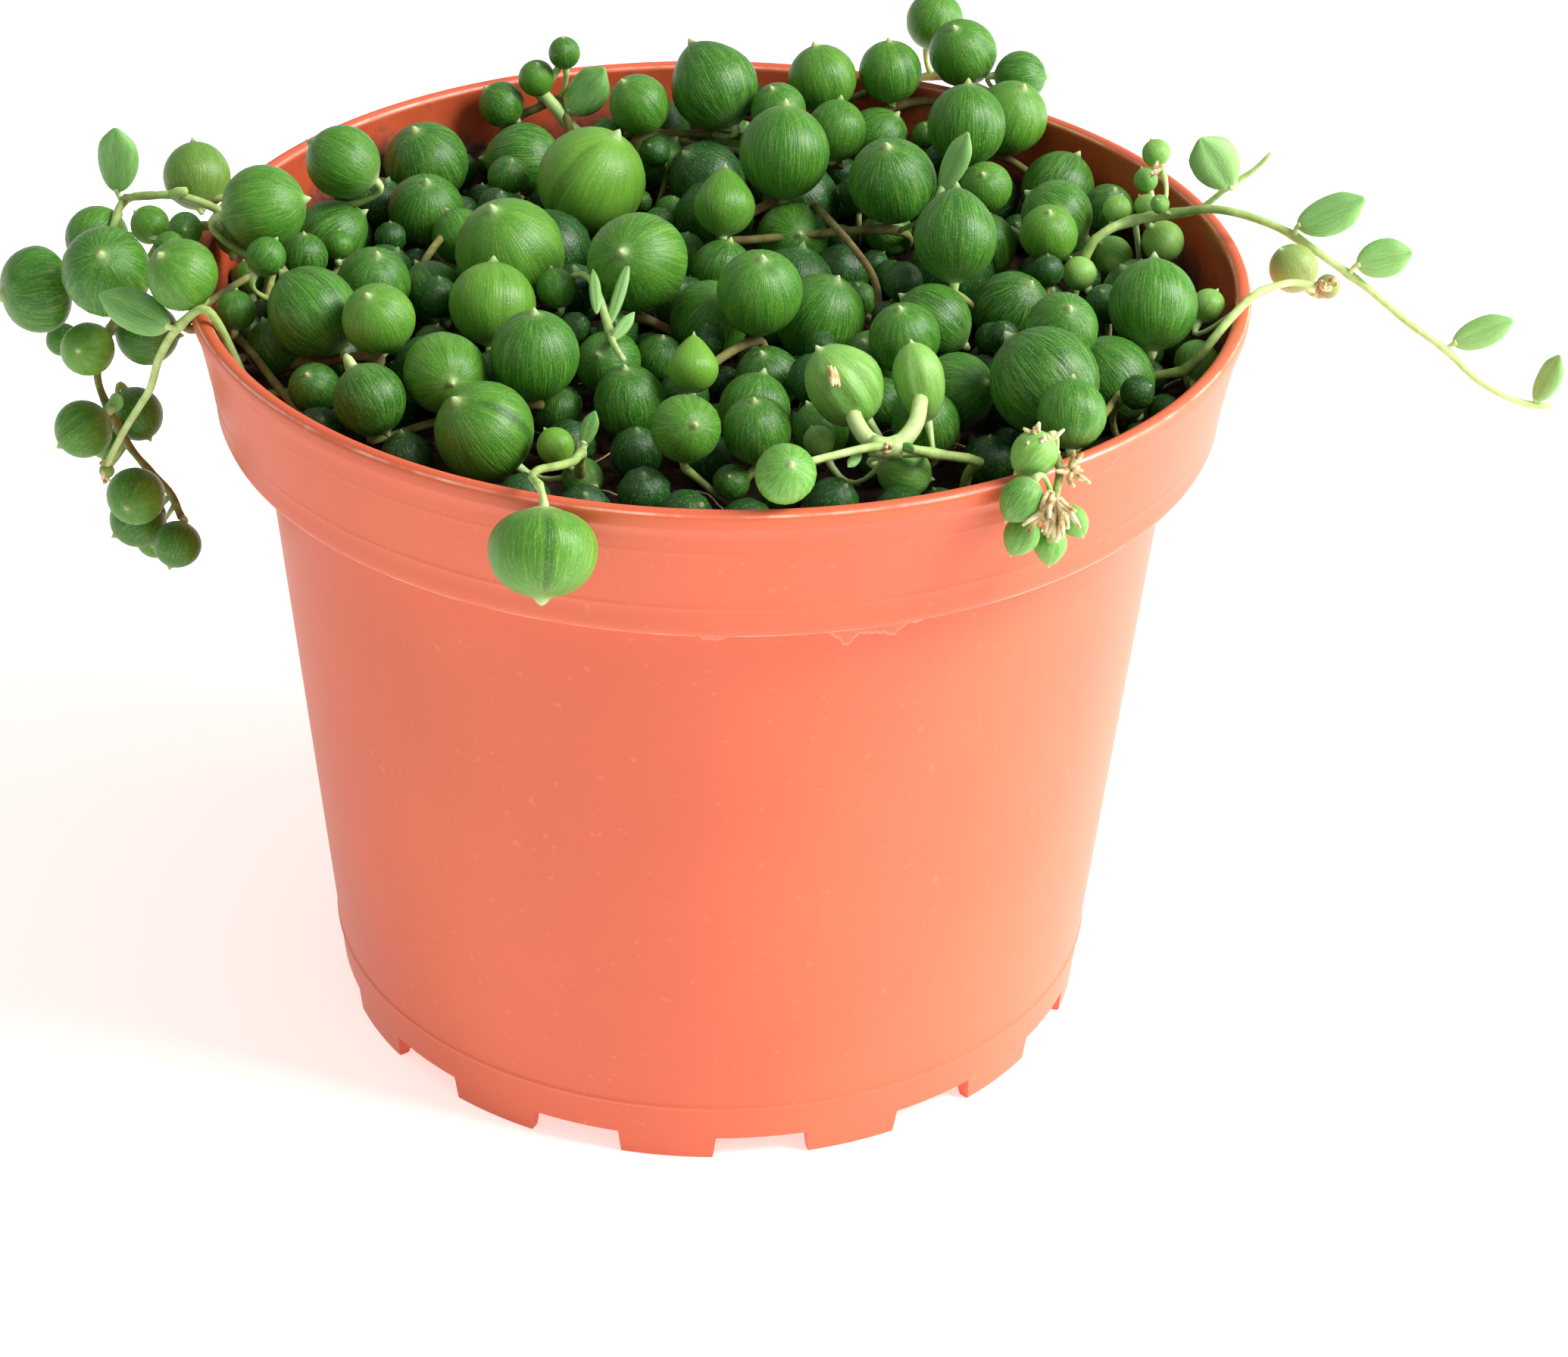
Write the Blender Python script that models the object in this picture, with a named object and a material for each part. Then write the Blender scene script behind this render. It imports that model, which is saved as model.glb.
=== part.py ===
"""String of pearls, a trailing succulent, growing in a moulded plastic nursery pot.

Lengths below are millimetres, turned into metres when a mesh is made. X runs to the
right, Y to the back and Z up from the pot's feet. The plant is a set of strands: each
strand is one solid of stems, pearls (its round leaves) and young flat leaves.
"""

import bpy
import numpy as np
from math import cos, radians, sin, tau

MM = 0.001
SHARP_DEGREES = 35

# Pot: a thin tapered wall, a wider rim band, a raised floor and a notched foot ring.
POT_HEIGHT = 81.1
RIM_RADIUS = 52.5
BAND_HEIGHT = 14.0
BAND_LOW_RADIUS = 50.1
BODY_TOP_RADIUS = 46.0
BASE_RADIUS = 39.6
WALL = 1.2
LIP_RADIUS = 0.8
LIP_STEPS = 4
FLOOR_UNDERSIDE = 3.0
FOOT_COUNT = 13
FOOT_TURN = -4.7
NOTCH_DEGREES = 13.5
NOTCH_HEIGHT = 2.6
NOTCH_STEPS = 3
DRAIN_COUNT = 8
DRAIN_RING_RADIUS = 26.0
DRAIN_RADIUS = 3.5
POT_SEGMENTS = 52

# Soil: fills the pot up to a slightly uneven top, clear of the wall.
GAP = 0.3
SOIL_TOP = 72.2
SOIL_BUMP = 0.35
SOIL_SEGMENTS = 32
SOIL_RINGS = 5

# Plant: stems, pearls and leaves.
STEM_RADIUS = 0.55
STEM_SIDES = 5
PEARL_SEGMENTS = 8
PEARL_RINGS = 5
BUD_SEGMENTS = 6
BUD_RINGS = 4
BUD_DIAMETER = 6.2
TIP_LENGTH = 0.12
LEAF_THICKNESS = 0.45
LEAF_HOLD = 0.3
SETTLE_ROUNDS = 300
SETTLE_SHARE = 0.3
CLEARANCE = 1.2 * GAP
PEARL_FLOOR = 73.0
ROUTE_STEP = 2.5

# Pearls as (x, y, z, diameter), from the strand's root to its tip.
# "stem" is the route of a stem that shows, and "leaves" are (base, tip, width).
STRANDS = {
    "left_rim_strand": {"pearls": [
        (-43, -11, 76, 5.5), (-39, -14, 81, 9), (-32, -19, 83, 7), (-38, -22, 77, 5),
        (-47, -12, 80, 4), (-51, -14, 84, 7), (-45, -1, 86, 8.5), (-44, -8, 84, 4)]},
    "left_inner_strand": {"pearls": [
        (-40, 13, 77, 7.5), (-39, 14, 84, 7.5), (-39, 8, 78, 3), (-42, 5, 78, 5)]},
    "back_left_strand": {"pearls": [
        (-32, 30, 77, 9), (-31, 19, 77, 8), (-27, 13, 77, 6)]},
    "rear_left_strand": {"pearls": [
        (-22, 33, 77, 8), (-23, 26, 78, 4.5), (-25, 41, 80, 5), (-21, 41, 83, 4),
        (-18, 41, 86, 3.5), (-14, 21, 80, 11.5), (-9, 25, 76, 2.5), (-6, 25, 75, 3.5)],
        "leaves": [((-17.6, 40, 79.5), (-13.7, 41, 84.4), 4.5)]},
    "rear_strand": {"pearls": [
        (1, 40, 76, 6), (-8, 36, 76, 6.5), (-9, 35, 83, 6.5), (-2, 37, 84, 9.5),
        (5, 34, 83, 6), (11, 34, 81, 6.5), (-11, 39, 80, 3.5), (-13, 36, 79, 3.5)]},
    "rear_right_strand": {"pearls": [
        (16, 41, 77, 7), (17, 45, 83, 7), (25, 46, 85, 7.5), (31, 44, 83, 5.5),
        (22, 53, 86, 6.5), (10, 43, 83, 7.5), (21, 40, 78, 3)]},
    "centre_back_strand": {"pearls": [
        (7, 15, 77, 7.5), (6, 18, 85, 9.5), (0, 12, 82, 6.5), (17, 14, 84, 9),
        (17, 19, 76, 5), (0, 8, 76, 6.5), (-4, 14, 75, 4.5)],
        "leaves": [((22, 12, 84), (24.4, 12, 90), 3)]},
    "right_back_strand": {"pearls": [
        (35, 29, 77, 8), (40, 24, 77, 5.5), (30, 36, 82, 8), (25, 29, 84, 8.5),
        (27, 16, 76, 6.5), (27, 22, 80, 5.5), (34, 15, 80, 7.5), (33, 9, 81, 6)]},
    "centre_strand": {"pearls": [
        (-1, -5, 77, 8), (-8, -5, 83, 10), (-10, -3, 75, 4), (-12, -7, 75, 3.5),
        (-15, -4, 74, 3), (-16, -5, 80, 4)]},
    "left_centre_strand": {"pearls": [
        (-29, 1, 76, 6.5), (-21, 1, 81, 11), (-22, -9, 80, 8.5), (-28, -8, 75, 4),
        (-34, -3, 79, 7.5)]},
    "front_left_strand": {"pearls": [
        (-15, -22, 75, 4.5), (-17, -23, 81, 8.5), (-25, -24, 80, 8), (-32, -28, 79, 7)]},
    "front_inner_strand": {"pearls": [
        (-8, -23, 77, 7), (-10, -15, 77, 6.5), (-6, -12, 76, 5)]},
    "front_centre_strand": {"pearls": [
        (4, -24, 77, 7), (5, -16, 76, 6.5), (4, -11, 83, 8.5), (-2, -23, 81, 5),
        (10, -26, 76, 5.5), (4, -34, 80, 6.5), (2, -35, 75, 3.5), (-2, -36, 81, 6.5)]},
    "front_right_strand": {"pearls": [
        (23, -21, 78, 7.5), (20, -28, 78, 6.5), (18, -16, 81, 7), (16, -20, 76, 5)]},
    "centre_right_strand": {"pearls": [
        (15, -11, 76, 6), (10, -5, 77, 9), (14, 5, 75, 3.5), (21, -8, 79, 7.5),
        (23, -3, 86, 8.5), (29, -1, 77, 8)]},
    "right_front_strand": {"pearls": [
        (38, -16, 77, 8.5), (33, -18, 83, 7), (31, -26, 82, 10.5), (33, -35, 83, 6.5),
        (42, -10, 82, 9)]},
    "right_rim_stalk": {
        "pearls": [(47, -8, 75, 4.5), (49, -3, 79, 3.5), (57, 2, 81, 5), (60, -2, 81, 2.5)],
        "stem": [(46, -13, 77), (47.5, -13.5, 80), (50, -11, 82.1), (52.5, -7, 82.4),
                 (56, -3.5, 82), (59, -2, 81)]},
    "flying_right_vine": {
        "pearls": [(45, 14, 78, 4.5), (40, 16, 75, 4.5), (36, 6, 78, 3.5), (40, 13, 82, 3),
                   (43, 14, 82, 2.5), (43, 16, 84, 2.5), (44, 18, 86, 3), (44, 10, 84, 2)],
        "stem": [(38, 9, 81), (41, 11, 81.5), (45, 12, 82), (50, 9, 84), (56, 7, 83),
                 (61, 5, 80.5), (65, 4, 78), (69, 3, 75), (73, 2, 72.5), (76, 1, 70),
                 (79, 0, 68.5), (82, 0, 67.5), (84, 0, 67.5)],
        "twig": [(45, 12, 82), (48, 12, 82.5), (51, 12, 85.2), (53.5, 12, 87.2), (55, 12, 89)],
        "leaves": [((51, 10, 86), (47.5, 10, 91.5), 4.4), ((57.5, 6, 83.7), (64, 6, 87), 3.4),
                   ((63.5, 4, 80.6), (69, 4, 82.2), 3.6), ((73.7, 2, 73.1), (79.5, 2, 76), 2.8),
                   ((82.4, 0, 67.9), (84.8, 0, 73.2), 2.8)]},
    "front_hanging_strand": {
        "pearls": [(-12, -35, 75, 4), (-21, -32, 78, 9.5), (-14, -35, 78, 3.5), (-14, -56, 79, 9.5)],
        "stem": [(-12, -37, 77), (-11.6, -39.5, 80), (-12.2, -42.5, 80.7), (-13.6, -45, 81.5),
                 (-14.9, -47, 82.2), (-15.4, -50.3, 82.9), (-15, -53.8, 82.4)],
        "leaves": [((-11.5, -39, 80.5), (-10.4, -38, 83.6), 1.6)]},
    "front_shoot": {
        "pearls": [(18, -34, 76, 5), (10, -30, 77, 3), (12, -32, 84, 7.5), (19, -30, 84, 5),
                   (7, -50, 84, 5.5)],
        "stem": [(25, -34, 77.5), (21, -36, 79), (16, -39, 81.3), (11, -43, 82.2), (7, -48, 83.5)]},
    "bud_cluster": {
        "pearls": [(29, -44, 83, 4.4), (28, -47, 80, 4), (28, -46, 77, 3.4), (31, -45, 75, 3.2),
                   (33, -43, 76, 2.8)],
        "stem": [(29, -37, 73.5), (29.5, -39, 78), (30.5, -41.5, 82.4), (31.5, -44.5, 82.4),
                 (31, -46.5, 79.5), (31, -46.5, 76)]},
    "left_trailing_strand": {
        "pearls": [(-48, 6, 75, 3.5), (-49, 3, 81, 4.5), (-53, 0, 83, 3.5), (-57, 3, 82, 4),
                   (-58, 3, 70, 6.5), (-63, -3, 71, 5.5), (-67, 5, 68, 3.5), (-64, -3, 62, 6),
                   (-60, 4, 60, 5.5), (-63, 4, 57, 3.5), (-59, -4, 55, 6), (-60, 2, 49, 6),
                   (-59, 5, 45, 4), (-55, -3, 49, 5)],
        "stem": [(-51, 2, 82.8), (-55.5, 2, 81), (-59, 1, 75), (-62, 1, 70), (-63, 1, 66),
                 (-62, 1, 62), (-60.5, 1, 58.5), (-58.5, 1, 55.5), (-56.5, 1, 53), (-55, -1, 51)],
        "leaves": [((-61.5, -1, 63), (-60.2, -3, 66), 1.6)]},
    "left_upper_strand": {
        "pearls": [(-53, 10, 84, 7), (-54, -4, 83, 3), (-60, -6, 81, 9), (-63, 6, 79, 6.5),
                   (-68, 0, 76, 8.5)],
        "stem": [(-47, 9, 81), (-50, 8, 82.8), (-55, 8, 83), (-60, 8, 82.5), (-61, 3, 81)],
        "leaves": [((-61, 8, 83.2), (-60.7, 8, 90.2), 4.2)]},
    "left_flower_stalk": {
        "pearls": [(-61, -8, 60, 1.6)],
        "stem": [(-45, -17, 73.5), (-46, -17, 77), (-48.5, -17, 82.4), (-51.5, -15.5, 80),
                 (-54, -13, 75.5), (-55.5, -11, 71), (-57, -9, 68), (-59, -8, 64.5), (-61, -8, 60.5)],
        "leaves": [((-52.4, -16, 80), (-59.5, -13, 82), 4.2)]},
}

# Colours as sRGB hex.
TERRACOTTA_PLASTIC = "E0714F"
PEAT = "2B1C14"
PEARL_GREEN = "4E8A35"
YOUNG_GREEN = "7FB054"


def linear(hex_colour):
    """Linear RGBA of an sRGB hex colour."""
    channels = [int(hex_colour[i:i + 2], 16) / 255 for i in (0, 2, 4)]
    return [((c + 0.055) / 1.055) ** 2.4 if c > 0.04045 else c / 12.92 for c in channels] + [1]


def material(name, hex_colour, roughness):
    """A Principled material of one colour and roughness."""
    made = bpy.data.materials.new(name)
    made.use_nodes = True
    shader = made.node_tree.nodes["Principled BSDF"]
    shader.inputs["Base Color"].default_value = linear(hex_colour)
    shader.inputs["Roughness"].default_value = roughness
    shader.inputs["Metallic"].default_value = 0.0
    return made


def add_object(name, shape, finish):
    """An object from (vertices in mm, faces)."""
    vertices, faces = shape
    mesh = bpy.data.meshes.new(name)
    mesh.from_pydata([tuple(v * MM for v in vertex) for vertex in vertices], [], faces)
    mesh.materials.append(finish)
    mesh.shade_smooth()
    mesh.set_sharp_from_angle(angle=radians(SHARP_DEGREES))
    made = bpy.data.objects.new(name, mesh)
    bpy.context.scene.collection.objects.link(made)
    return made


def joined(shapes):
    """Several (vertices, faces) as one."""
    vertices, faces = [], []
    for some_vertices, some_faces in shapes:
        start = len(vertices)
        vertices += [tuple(float(c) for c in v) for v in some_vertices]
        faces += [tuple(start + i for i in face) for face in some_faces]
    return vertices, faces


def turned(profile, segments, height=None):
    """Turn (radius, z) points, listed from the lower pole round the outside to the upper
    pole, about Z. height(x, y, z) may shift a point's z."""
    vertices = [(0.0, 0.0, profile[0][1])]
    for radius, z in profile[1:-1]:
        for i in range(segments):
            angle = tau * i / segments
            vertices.append((radius * cos(angle), radius * sin(angle), z))
    vertices.append((0.0, 0.0, profile[-1][1]))
    if height:
        vertices = [(x, y, height(x, y, z)) for x, y, z in vertices]
    last = len(vertices) - 1
    rings = len(profile) - 2
    faces = [(0, 1 + (i + 1) % segments, 1 + i) for i in range(segments)]
    for ring in range(rings - 1):
        low, high = 1 + ring * segments, 1 + (ring + 1) * segments
        for i in range(segments):
            j = (i + 1) % segments
            faces.append((low + i, low + j, high + j, high + i))
    top = 1 + (rings - 1) * segments
    faces += [(top + i, top + (i + 1) % segments, last) for i in range(segments)]
    return vertices, faces


def body_radius(z):
    """Outer radius of the tapered wall at height z."""
    share = z / (POT_HEIGHT - BAND_HEIGHT)
    return BASE_RADIUS + (BODY_TOP_RADIUS - BASE_RADIUS) * share


def band_radius(z):
    """Outer radius of the rim band at height z."""
    share = (z - POT_HEIGHT + BAND_HEIGHT) / (BAND_HEIGHT - LIP_RADIUS)
    return BAND_LOW_RADIUS + (RIM_RADIUS - BAND_LOW_RADIUS) * share


def inner_step():
    """The inside corner where the wall steps out into the band, as two (radius, z)."""
    z = POT_HEIGHT - BAND_HEIGHT
    return [(body_radius(z) - WALL, z), (band_radius(z + WALL) - WALL, z + WALL)]


def pot_profile():
    """The pot's closed section: under the floor, round the outside, over the lip, inside."""
    band_low = POT_HEIGHT - BAND_HEIGHT
    lip_z = POT_HEIGHT - LIP_RADIUS
    lip = []
    for i in range(LIP_STEPS + 1):
        angle = radians(180) * i / LIP_STEPS
        lip.append((RIM_RADIUS - LIP_RADIUS + LIP_RADIUS * cos(angle), lip_z + LIP_RADIUS * sin(angle)))
    floor_top = FLOOR_UNDERSIDE + WALL
    underside = [(0, FLOOR_UNDERSIDE), (BASE_RADIUS - 2 * WALL, FLOOR_UNDERSIDE),
                 (BASE_RADIUS - WALL, 0), (BASE_RADIUS, 0)]
    outside = [(body_radius(band_low), band_low), (BAND_LOW_RADIUS, band_low)]
    inside = inner_step()[::-1] + [(body_radius(floor_top) - WALL, floor_top), (0, floor_top)]
    return underside + outside + lip + inside


def wedge(middle, half_width, inner, outer, low, high):
    """A block between two radii and two angles, in degrees from the front."""
    vertices = []
    for z in (low, high):
        for radius in (inner, outer):
            for i in range(NOTCH_STEPS + 1):
                angle = radians(middle - half_width + 2 * half_width * i / NOTCH_STEPS)
                vertices.append((radius * sin(angle), -radius * cos(angle), z))
    n = NOTCH_STEPS + 1
    faces = []
    for i in range(NOTCH_STEPS):
        a, b = i, i + 1
        faces += [(b, n + b, n + a, a), (2 * n + a, 3 * n + a, 3 * n + b, 2 * n + b)]
        faces += [(a, 2 * n + a, 2 * n + b, b), (n + b, 3 * n + b, 3 * n + a, n + a)]
    faces += [(n, 3 * n, 2 * n, 0), (3 * n - 1, 4 * n - 1, 2 * n - 1, n - 1)]
    return vertices, faces


def cut(target, name, shape, finish):
    """Cut a hidden shape out of target."""
    cutter = add_object(name, shape, finish)
    cutter.hide_render = True
    cutter.display_type = "WIRE"
    boolean = target.modifiers.new(name, "BOOLEAN")
    boolean.operation = "DIFFERENCE"
    boolean.solver = "EXACT"
    boolean.object = cutter


def build_pot(finish):
    pot = add_object("pot", turned(pot_profile(), POT_SEGMENTS), finish)
    pitch = 360 / FOOT_COUNT
    notches = [wedge(FOOT_TURN + pitch * (i + 0.5), NOTCH_DEGREES / 2, BASE_RADIUS - 4 * WALL,
                     BASE_RADIUS + 4 * WALL, -1, NOTCH_HEIGHT) for i in range(FOOT_COUNT)]
    cut(pot, "notch_cutter", joined(notches), finish)
    drains = []
    for i in range(DRAIN_COUNT):
        angle = tau * i / DRAIN_COUNT
        place = (DRAIN_RING_RADIUS * cos(angle), DRAIN_RING_RADIUS * sin(angle))
        low, high = FLOOR_UNDERSIDE - 1, FLOOR_UNDERSIDE + WALL + 1
        plug = turned([(0, low), (DRAIN_RADIUS, low), (DRAIN_RADIUS, high), (0, high)], 12)
        drains.append(([(x + place[0], y + place[1], z) for x, y, z in plug[0]], plug[1]))
    cut(pot, "drain_cutter", joined(drains), finish)


def soil_height(x, y, z=SOIL_TOP):
    """Height of the soil's uneven top: two crossed waves that fade out at the wall."""
    if z < SOIL_TOP - GAP:
        return z
    fade = max(0.0, 1 - (np.hypot(x, y) / BODY_TOP_RADIUS) ** 4)
    return z + SOIL_BUMP * fade * (sin(x / 7.0) * cos(y / 6.0) + 0.5 * sin((x - y) / 4.0))


def build_soil(finish):
    low = FLOOR_UNDERSIDE + WALL + GAP
    step_low, step_high = inner_step()
    edge = band_radius(SOIL_TOP) - WALL - GAP
    profile = [(0, low), (body_radius(low) - WALL - GAP, low),
               (step_low[0] - GAP, step_low[1] + GAP), (step_high[0] - GAP, step_high[1] + GAP)]
    profile += [(edge * (SOIL_RINGS - i) / SOIL_RINGS, SOIL_TOP) for i in range(SOIL_RINGS + 1)]
    add_object("soil", turned(profile, SOIL_SEGMENTS, soil_height), finish)


def settle(centres, radii):
    """Push pearls that meet apart until they clear each other, the rim and the soil."""
    rim_core, rim_z = RIM_RADIUS - LIP_RADIUS, POT_HEIGHT - LIP_RADIUS
    for _ in range(SETTLE_ROUNDS):
        apart = centres[:, None] - centres[None]
        distance = np.linalg.norm(apart, axis=2) + 1e3 * np.eye(len(centres))
        short = np.clip(radii[:, None] + radii[None] + CLEARANCE - distance, 0, None)
        centres = centres + SETTLE_SHARE * (apart / distance[..., None] * short[..., None]).sum(axis=1)
        flat = np.hypot(centres[:, 0], centres[:, 1])
        outward = centres[:, :2] / flat[:, None]
        from_rim = np.stack([flat - rim_core, centres[:, 2] - rim_z], axis=1)
        away = np.linalg.norm(from_rim, axis=1)
        push = np.clip(radii + LIP_RADIUS + CLEARANCE - away, 0, None) * (centres[:, 2] > rim_z)
        centres[:, :2] += outward * (from_rim[:, 0] / away * push)[:, None]
        centres[:, 2] += from_rim[:, 1] / away * push
        low = centres[:, 2] <= rim_z
        inside = low & (flat < rim_core)
        room = BAND_LOW_RADIUS - radii
        centres[inside, :2] -= outward[inside] * np.clip(flat - room, 0, None)[inside, None]
        outside = low & (flat >= rim_core)
        room = RIM_RADIUS + radii + CLEARANCE
        centres[outside, :2] += outward[outside] * np.clip(room - flat, 0, None)[outside, None]
        on_soil = flat < rim_core
        centres[on_soil, 2] = np.maximum(centres[on_soil, 2], PEARL_FLOOR + radii[on_soil])
    return centres


def frame_about(direction):
    """Two unit vectors square to direction and to each other."""
    helper = (0, 0, 1) if abs(direction[2]) < 0.9 else (1, 0, 0)
    side = np.cross(direction, helper)
    side /= np.linalg.norm(side)
    return side, np.cross(direction, side)


def pearl(centre, radius, tip):
    """A round leaf: a sphere whose pole along tip ends in a short point."""
    segments, rings = PEARL_SEGMENTS, PEARL_RINGS
    if 2 * radius < BUD_DIAMETER:
        segments, rings = BUD_SEGMENTS, BUD_RINGS
    steps = [radians(180) * i / rings for i in range(rings + 1)]
    profile = [(radius * sin(a), -radius * cos(a)) for a in steps]
    profile[-1] = (0, radius * (1 + TIP_LENGTH))
    vertices, faces = turned(profile, segments)
    side, other = frame_about(tip)
    return [centre + x * side + y * other + z * tip for x, y, z in vertices], faces


def leaf(base, end, width):
    """A young flat leaf: a pointed oval from base to end."""
    base, end = np.array(base, float), np.array(end, float)
    length = np.linalg.norm(end - base)
    along = (end - base) / length
    profile = [(width / 2 * sin(a) ** 0.8, length * (1 - cos(a)) / 2)
               for a in (radians(180) * i / BUD_RINGS for i in range(1, BUD_RINGS))]
    vertices, faces = turned([(0, 0)] + profile + [(0, length)], BUD_SEGMENTS)
    side, other = frame_about(along)
    placed = [base + x * side + LEAF_THICKNESS * y * other + z * along for x, y, z in vertices]
    return placed, faces


def tube(points):
    """A stem: a round tube through points, closed at both ends."""
    points = np.array(points, float)
    ahead = np.gradient(points, axis=0)
    vertices, faces = [], []
    side = frame_about(ahead[0] / np.linalg.norm(ahead[0]))[0]
    for point, direction in zip(points, ahead):
        direction = direction / np.linalg.norm(direction)
        side = side - direction * (side @ direction)
        side /= np.linalg.norm(side)
        other = np.cross(direction, side)
        for i in range(STEM_SIDES):
            angle = tau * i / STEM_SIDES
            vertices.append(point + STEM_RADIUS * (cos(angle) * side + sin(angle) * other))
    for ring in range(len(points) - 1):
        for i in range(STEM_SIDES):
            j = (i + 1) % STEM_SIDES
            low, high = ring * STEM_SIDES, (ring + 1) * STEM_SIDES
            faces.append((low + i, low + j, high + j, high + i))
    faces.append(tuple(range(STEM_SIDES))[::-1])
    faces.append(tuple(range(len(vertices) - STEM_SIDES, len(vertices))))
    return vertices, faces


def smooth_route(points):
    """A curve through points (Catmull-Rom), with a point about every ROUTE_STEP."""
    points = np.array(points, float)
    padded = np.vstack([2 * points[0] - points[1], points, 2 * points[-1] - points[-2]])
    route = []
    for i in range(len(points) - 1):
        a, b, c, d = padded[i:i + 4]
        count = max(1, round(np.linalg.norm(c - b) / ROUTE_STEP))
        for t in np.arange(count) / count:
            route.append(0.5 * (2 * b + (c - a) * t + (2 * a - 5 * b + 4 * c - d) * t ** 2
                                + (3 * b - a - 3 * c + d) * t ** 3))
    return np.array(route + [points[-1]])


def nearest(place, routes, centres, radii):
    """The point that a pearl or leaf at place grows from: on a stem or in an earlier pearl."""
    options = [(np.linalg.norm(place - point), tuple(point)) for route in routes for point in route]
    options += [(np.linalg.norm(place - c) - r, tuple(c)) for c, r in zip(centres, radii)]
    return np.array(min(options)[1])


def root(place):
    """A short stem straight down from place to just above the soil."""
    foot = soil_height(place[0], place[1]) + GAP
    return [tuple(place), (place[0], place[1], foot)]


def build_strand(name, plan, centres, radii, leaf_green):
    """One strand: its pearls and leaves, joined by its stems into one solid."""
    routes = [smooth_route(plan[key]) for key in ("stem", "twig") if key in plan]
    stems = [tube(route) for route in routes]
    starts_in_soil = routes and routes[0][0][2] < PEARL_FLOOR + 1
    if starts_in_soil:
        stems.append(tube(root(routes[0][0])))
    solids = []
    for i, (centre, radius) in enumerate(zip(centres, radii)):
        first = i == 0 and not starts_in_soil
        if first:
            foot = root(centre)
            stems.append(tube(foot))
            solids.append(pearl(centre, radius, np.array((0.0, 0.0, 1.0))))
            if not routes:
                continue
        growth = nearest(centre, routes, centres[:i], radii[:i])
        stems.append(tube([growth, centre]))
        if not first:
            tip = (centre - growth) / np.linalg.norm(centre - growth)
            solids.append(pearl(centre, radius, tip))
    for base, end, width in plan.get("leaves", []):
        growth = nearest(np.array(base, float), routes, centres, radii)
        inside = np.array(base) + LEAF_HOLD * (np.array(end) - np.array(base))
        stems.append(tube([growth, inside]))
        solids.append(leaf(base, end, width))
    strand = add_object(name, joined(solids), leaf_green)
    stem_cutter = add_object(name + "_stems", joined(stems), leaf_green)
    stem_cutter.hide_render = True
    stem_cutter.display_type = "WIRE"
    union = strand.modifiers.new("stems", "BOOLEAN")
    union.operation = "UNION"
    union.solver = "EXACT"
    union.use_self = True
    union.object = stem_cutter


def build_plant(pearl_green, young_green):
    """Settle all pearls together, then build each strand."""
    rows = np.array([row for plan in STRANDS.values() for row in plan["pearls"]], float)
    centres, radii = settle(rows[:, :3], rows[:, 3] / 2), rows[:, 3] / 2
    start = 0
    for name, plan in STRANDS.items():
        end = start + len(plan["pearls"])
        green = young_green if "stem" in plan else pearl_green
        build_strand(name, plan, centres[start:end], radii[start:end], green)
        start = end


def centre_on_origin():
    """Put the bottom centre of the whole model's box on the world origin."""
    bpy.context.view_layer.update()
    depsgraph = bpy.context.evaluated_depsgraph_get()
    corners = []
    for made in bpy.data.objects:
        if made.type == "MESH" and not made.hide_render:
            mesh = made.evaluated_get(depsgraph).data
            corners += [tuple(vertex.co) for vertex in mesh.vertices]
    low, high = np.min(corners, axis=0), np.max(corners, axis=0)
    shift = (-(low[0] + high[0]) / 2, -(low[1] + high[1]) / 2, -low[2])
    for made in bpy.data.objects:
        made.location = shift


for old in list(bpy.data.objects):
    bpy.data.objects.remove(old)
build_pot(material("moulded_plastic", TERRACOTTA_PLASTIC, 0.42))
build_soil(material("peat_soil", PEAT, 0.95))
build_plant(material("pearl_skin", PEARL_GREEN, 0.38), material("young_growth", YOUNG_GREEN, 0.42))
centre_on_origin()
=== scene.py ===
"""String of pearls growing in a moulded plastic nursery pot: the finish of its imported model.

Lengths are millimetres from the pot's axis and its feet, X to the right, Y to the back and
Z up, until a mesh is made. After the camera, the light and the floor, the sections follow
the potted plant as it is put together: pot, soil, growth plan, stems, pearls, young leaves,
low pearls, and dried flowers with dead roots.
"""
import bpy
import numpy as np
from mathutils import Matrix, Vector


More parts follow.
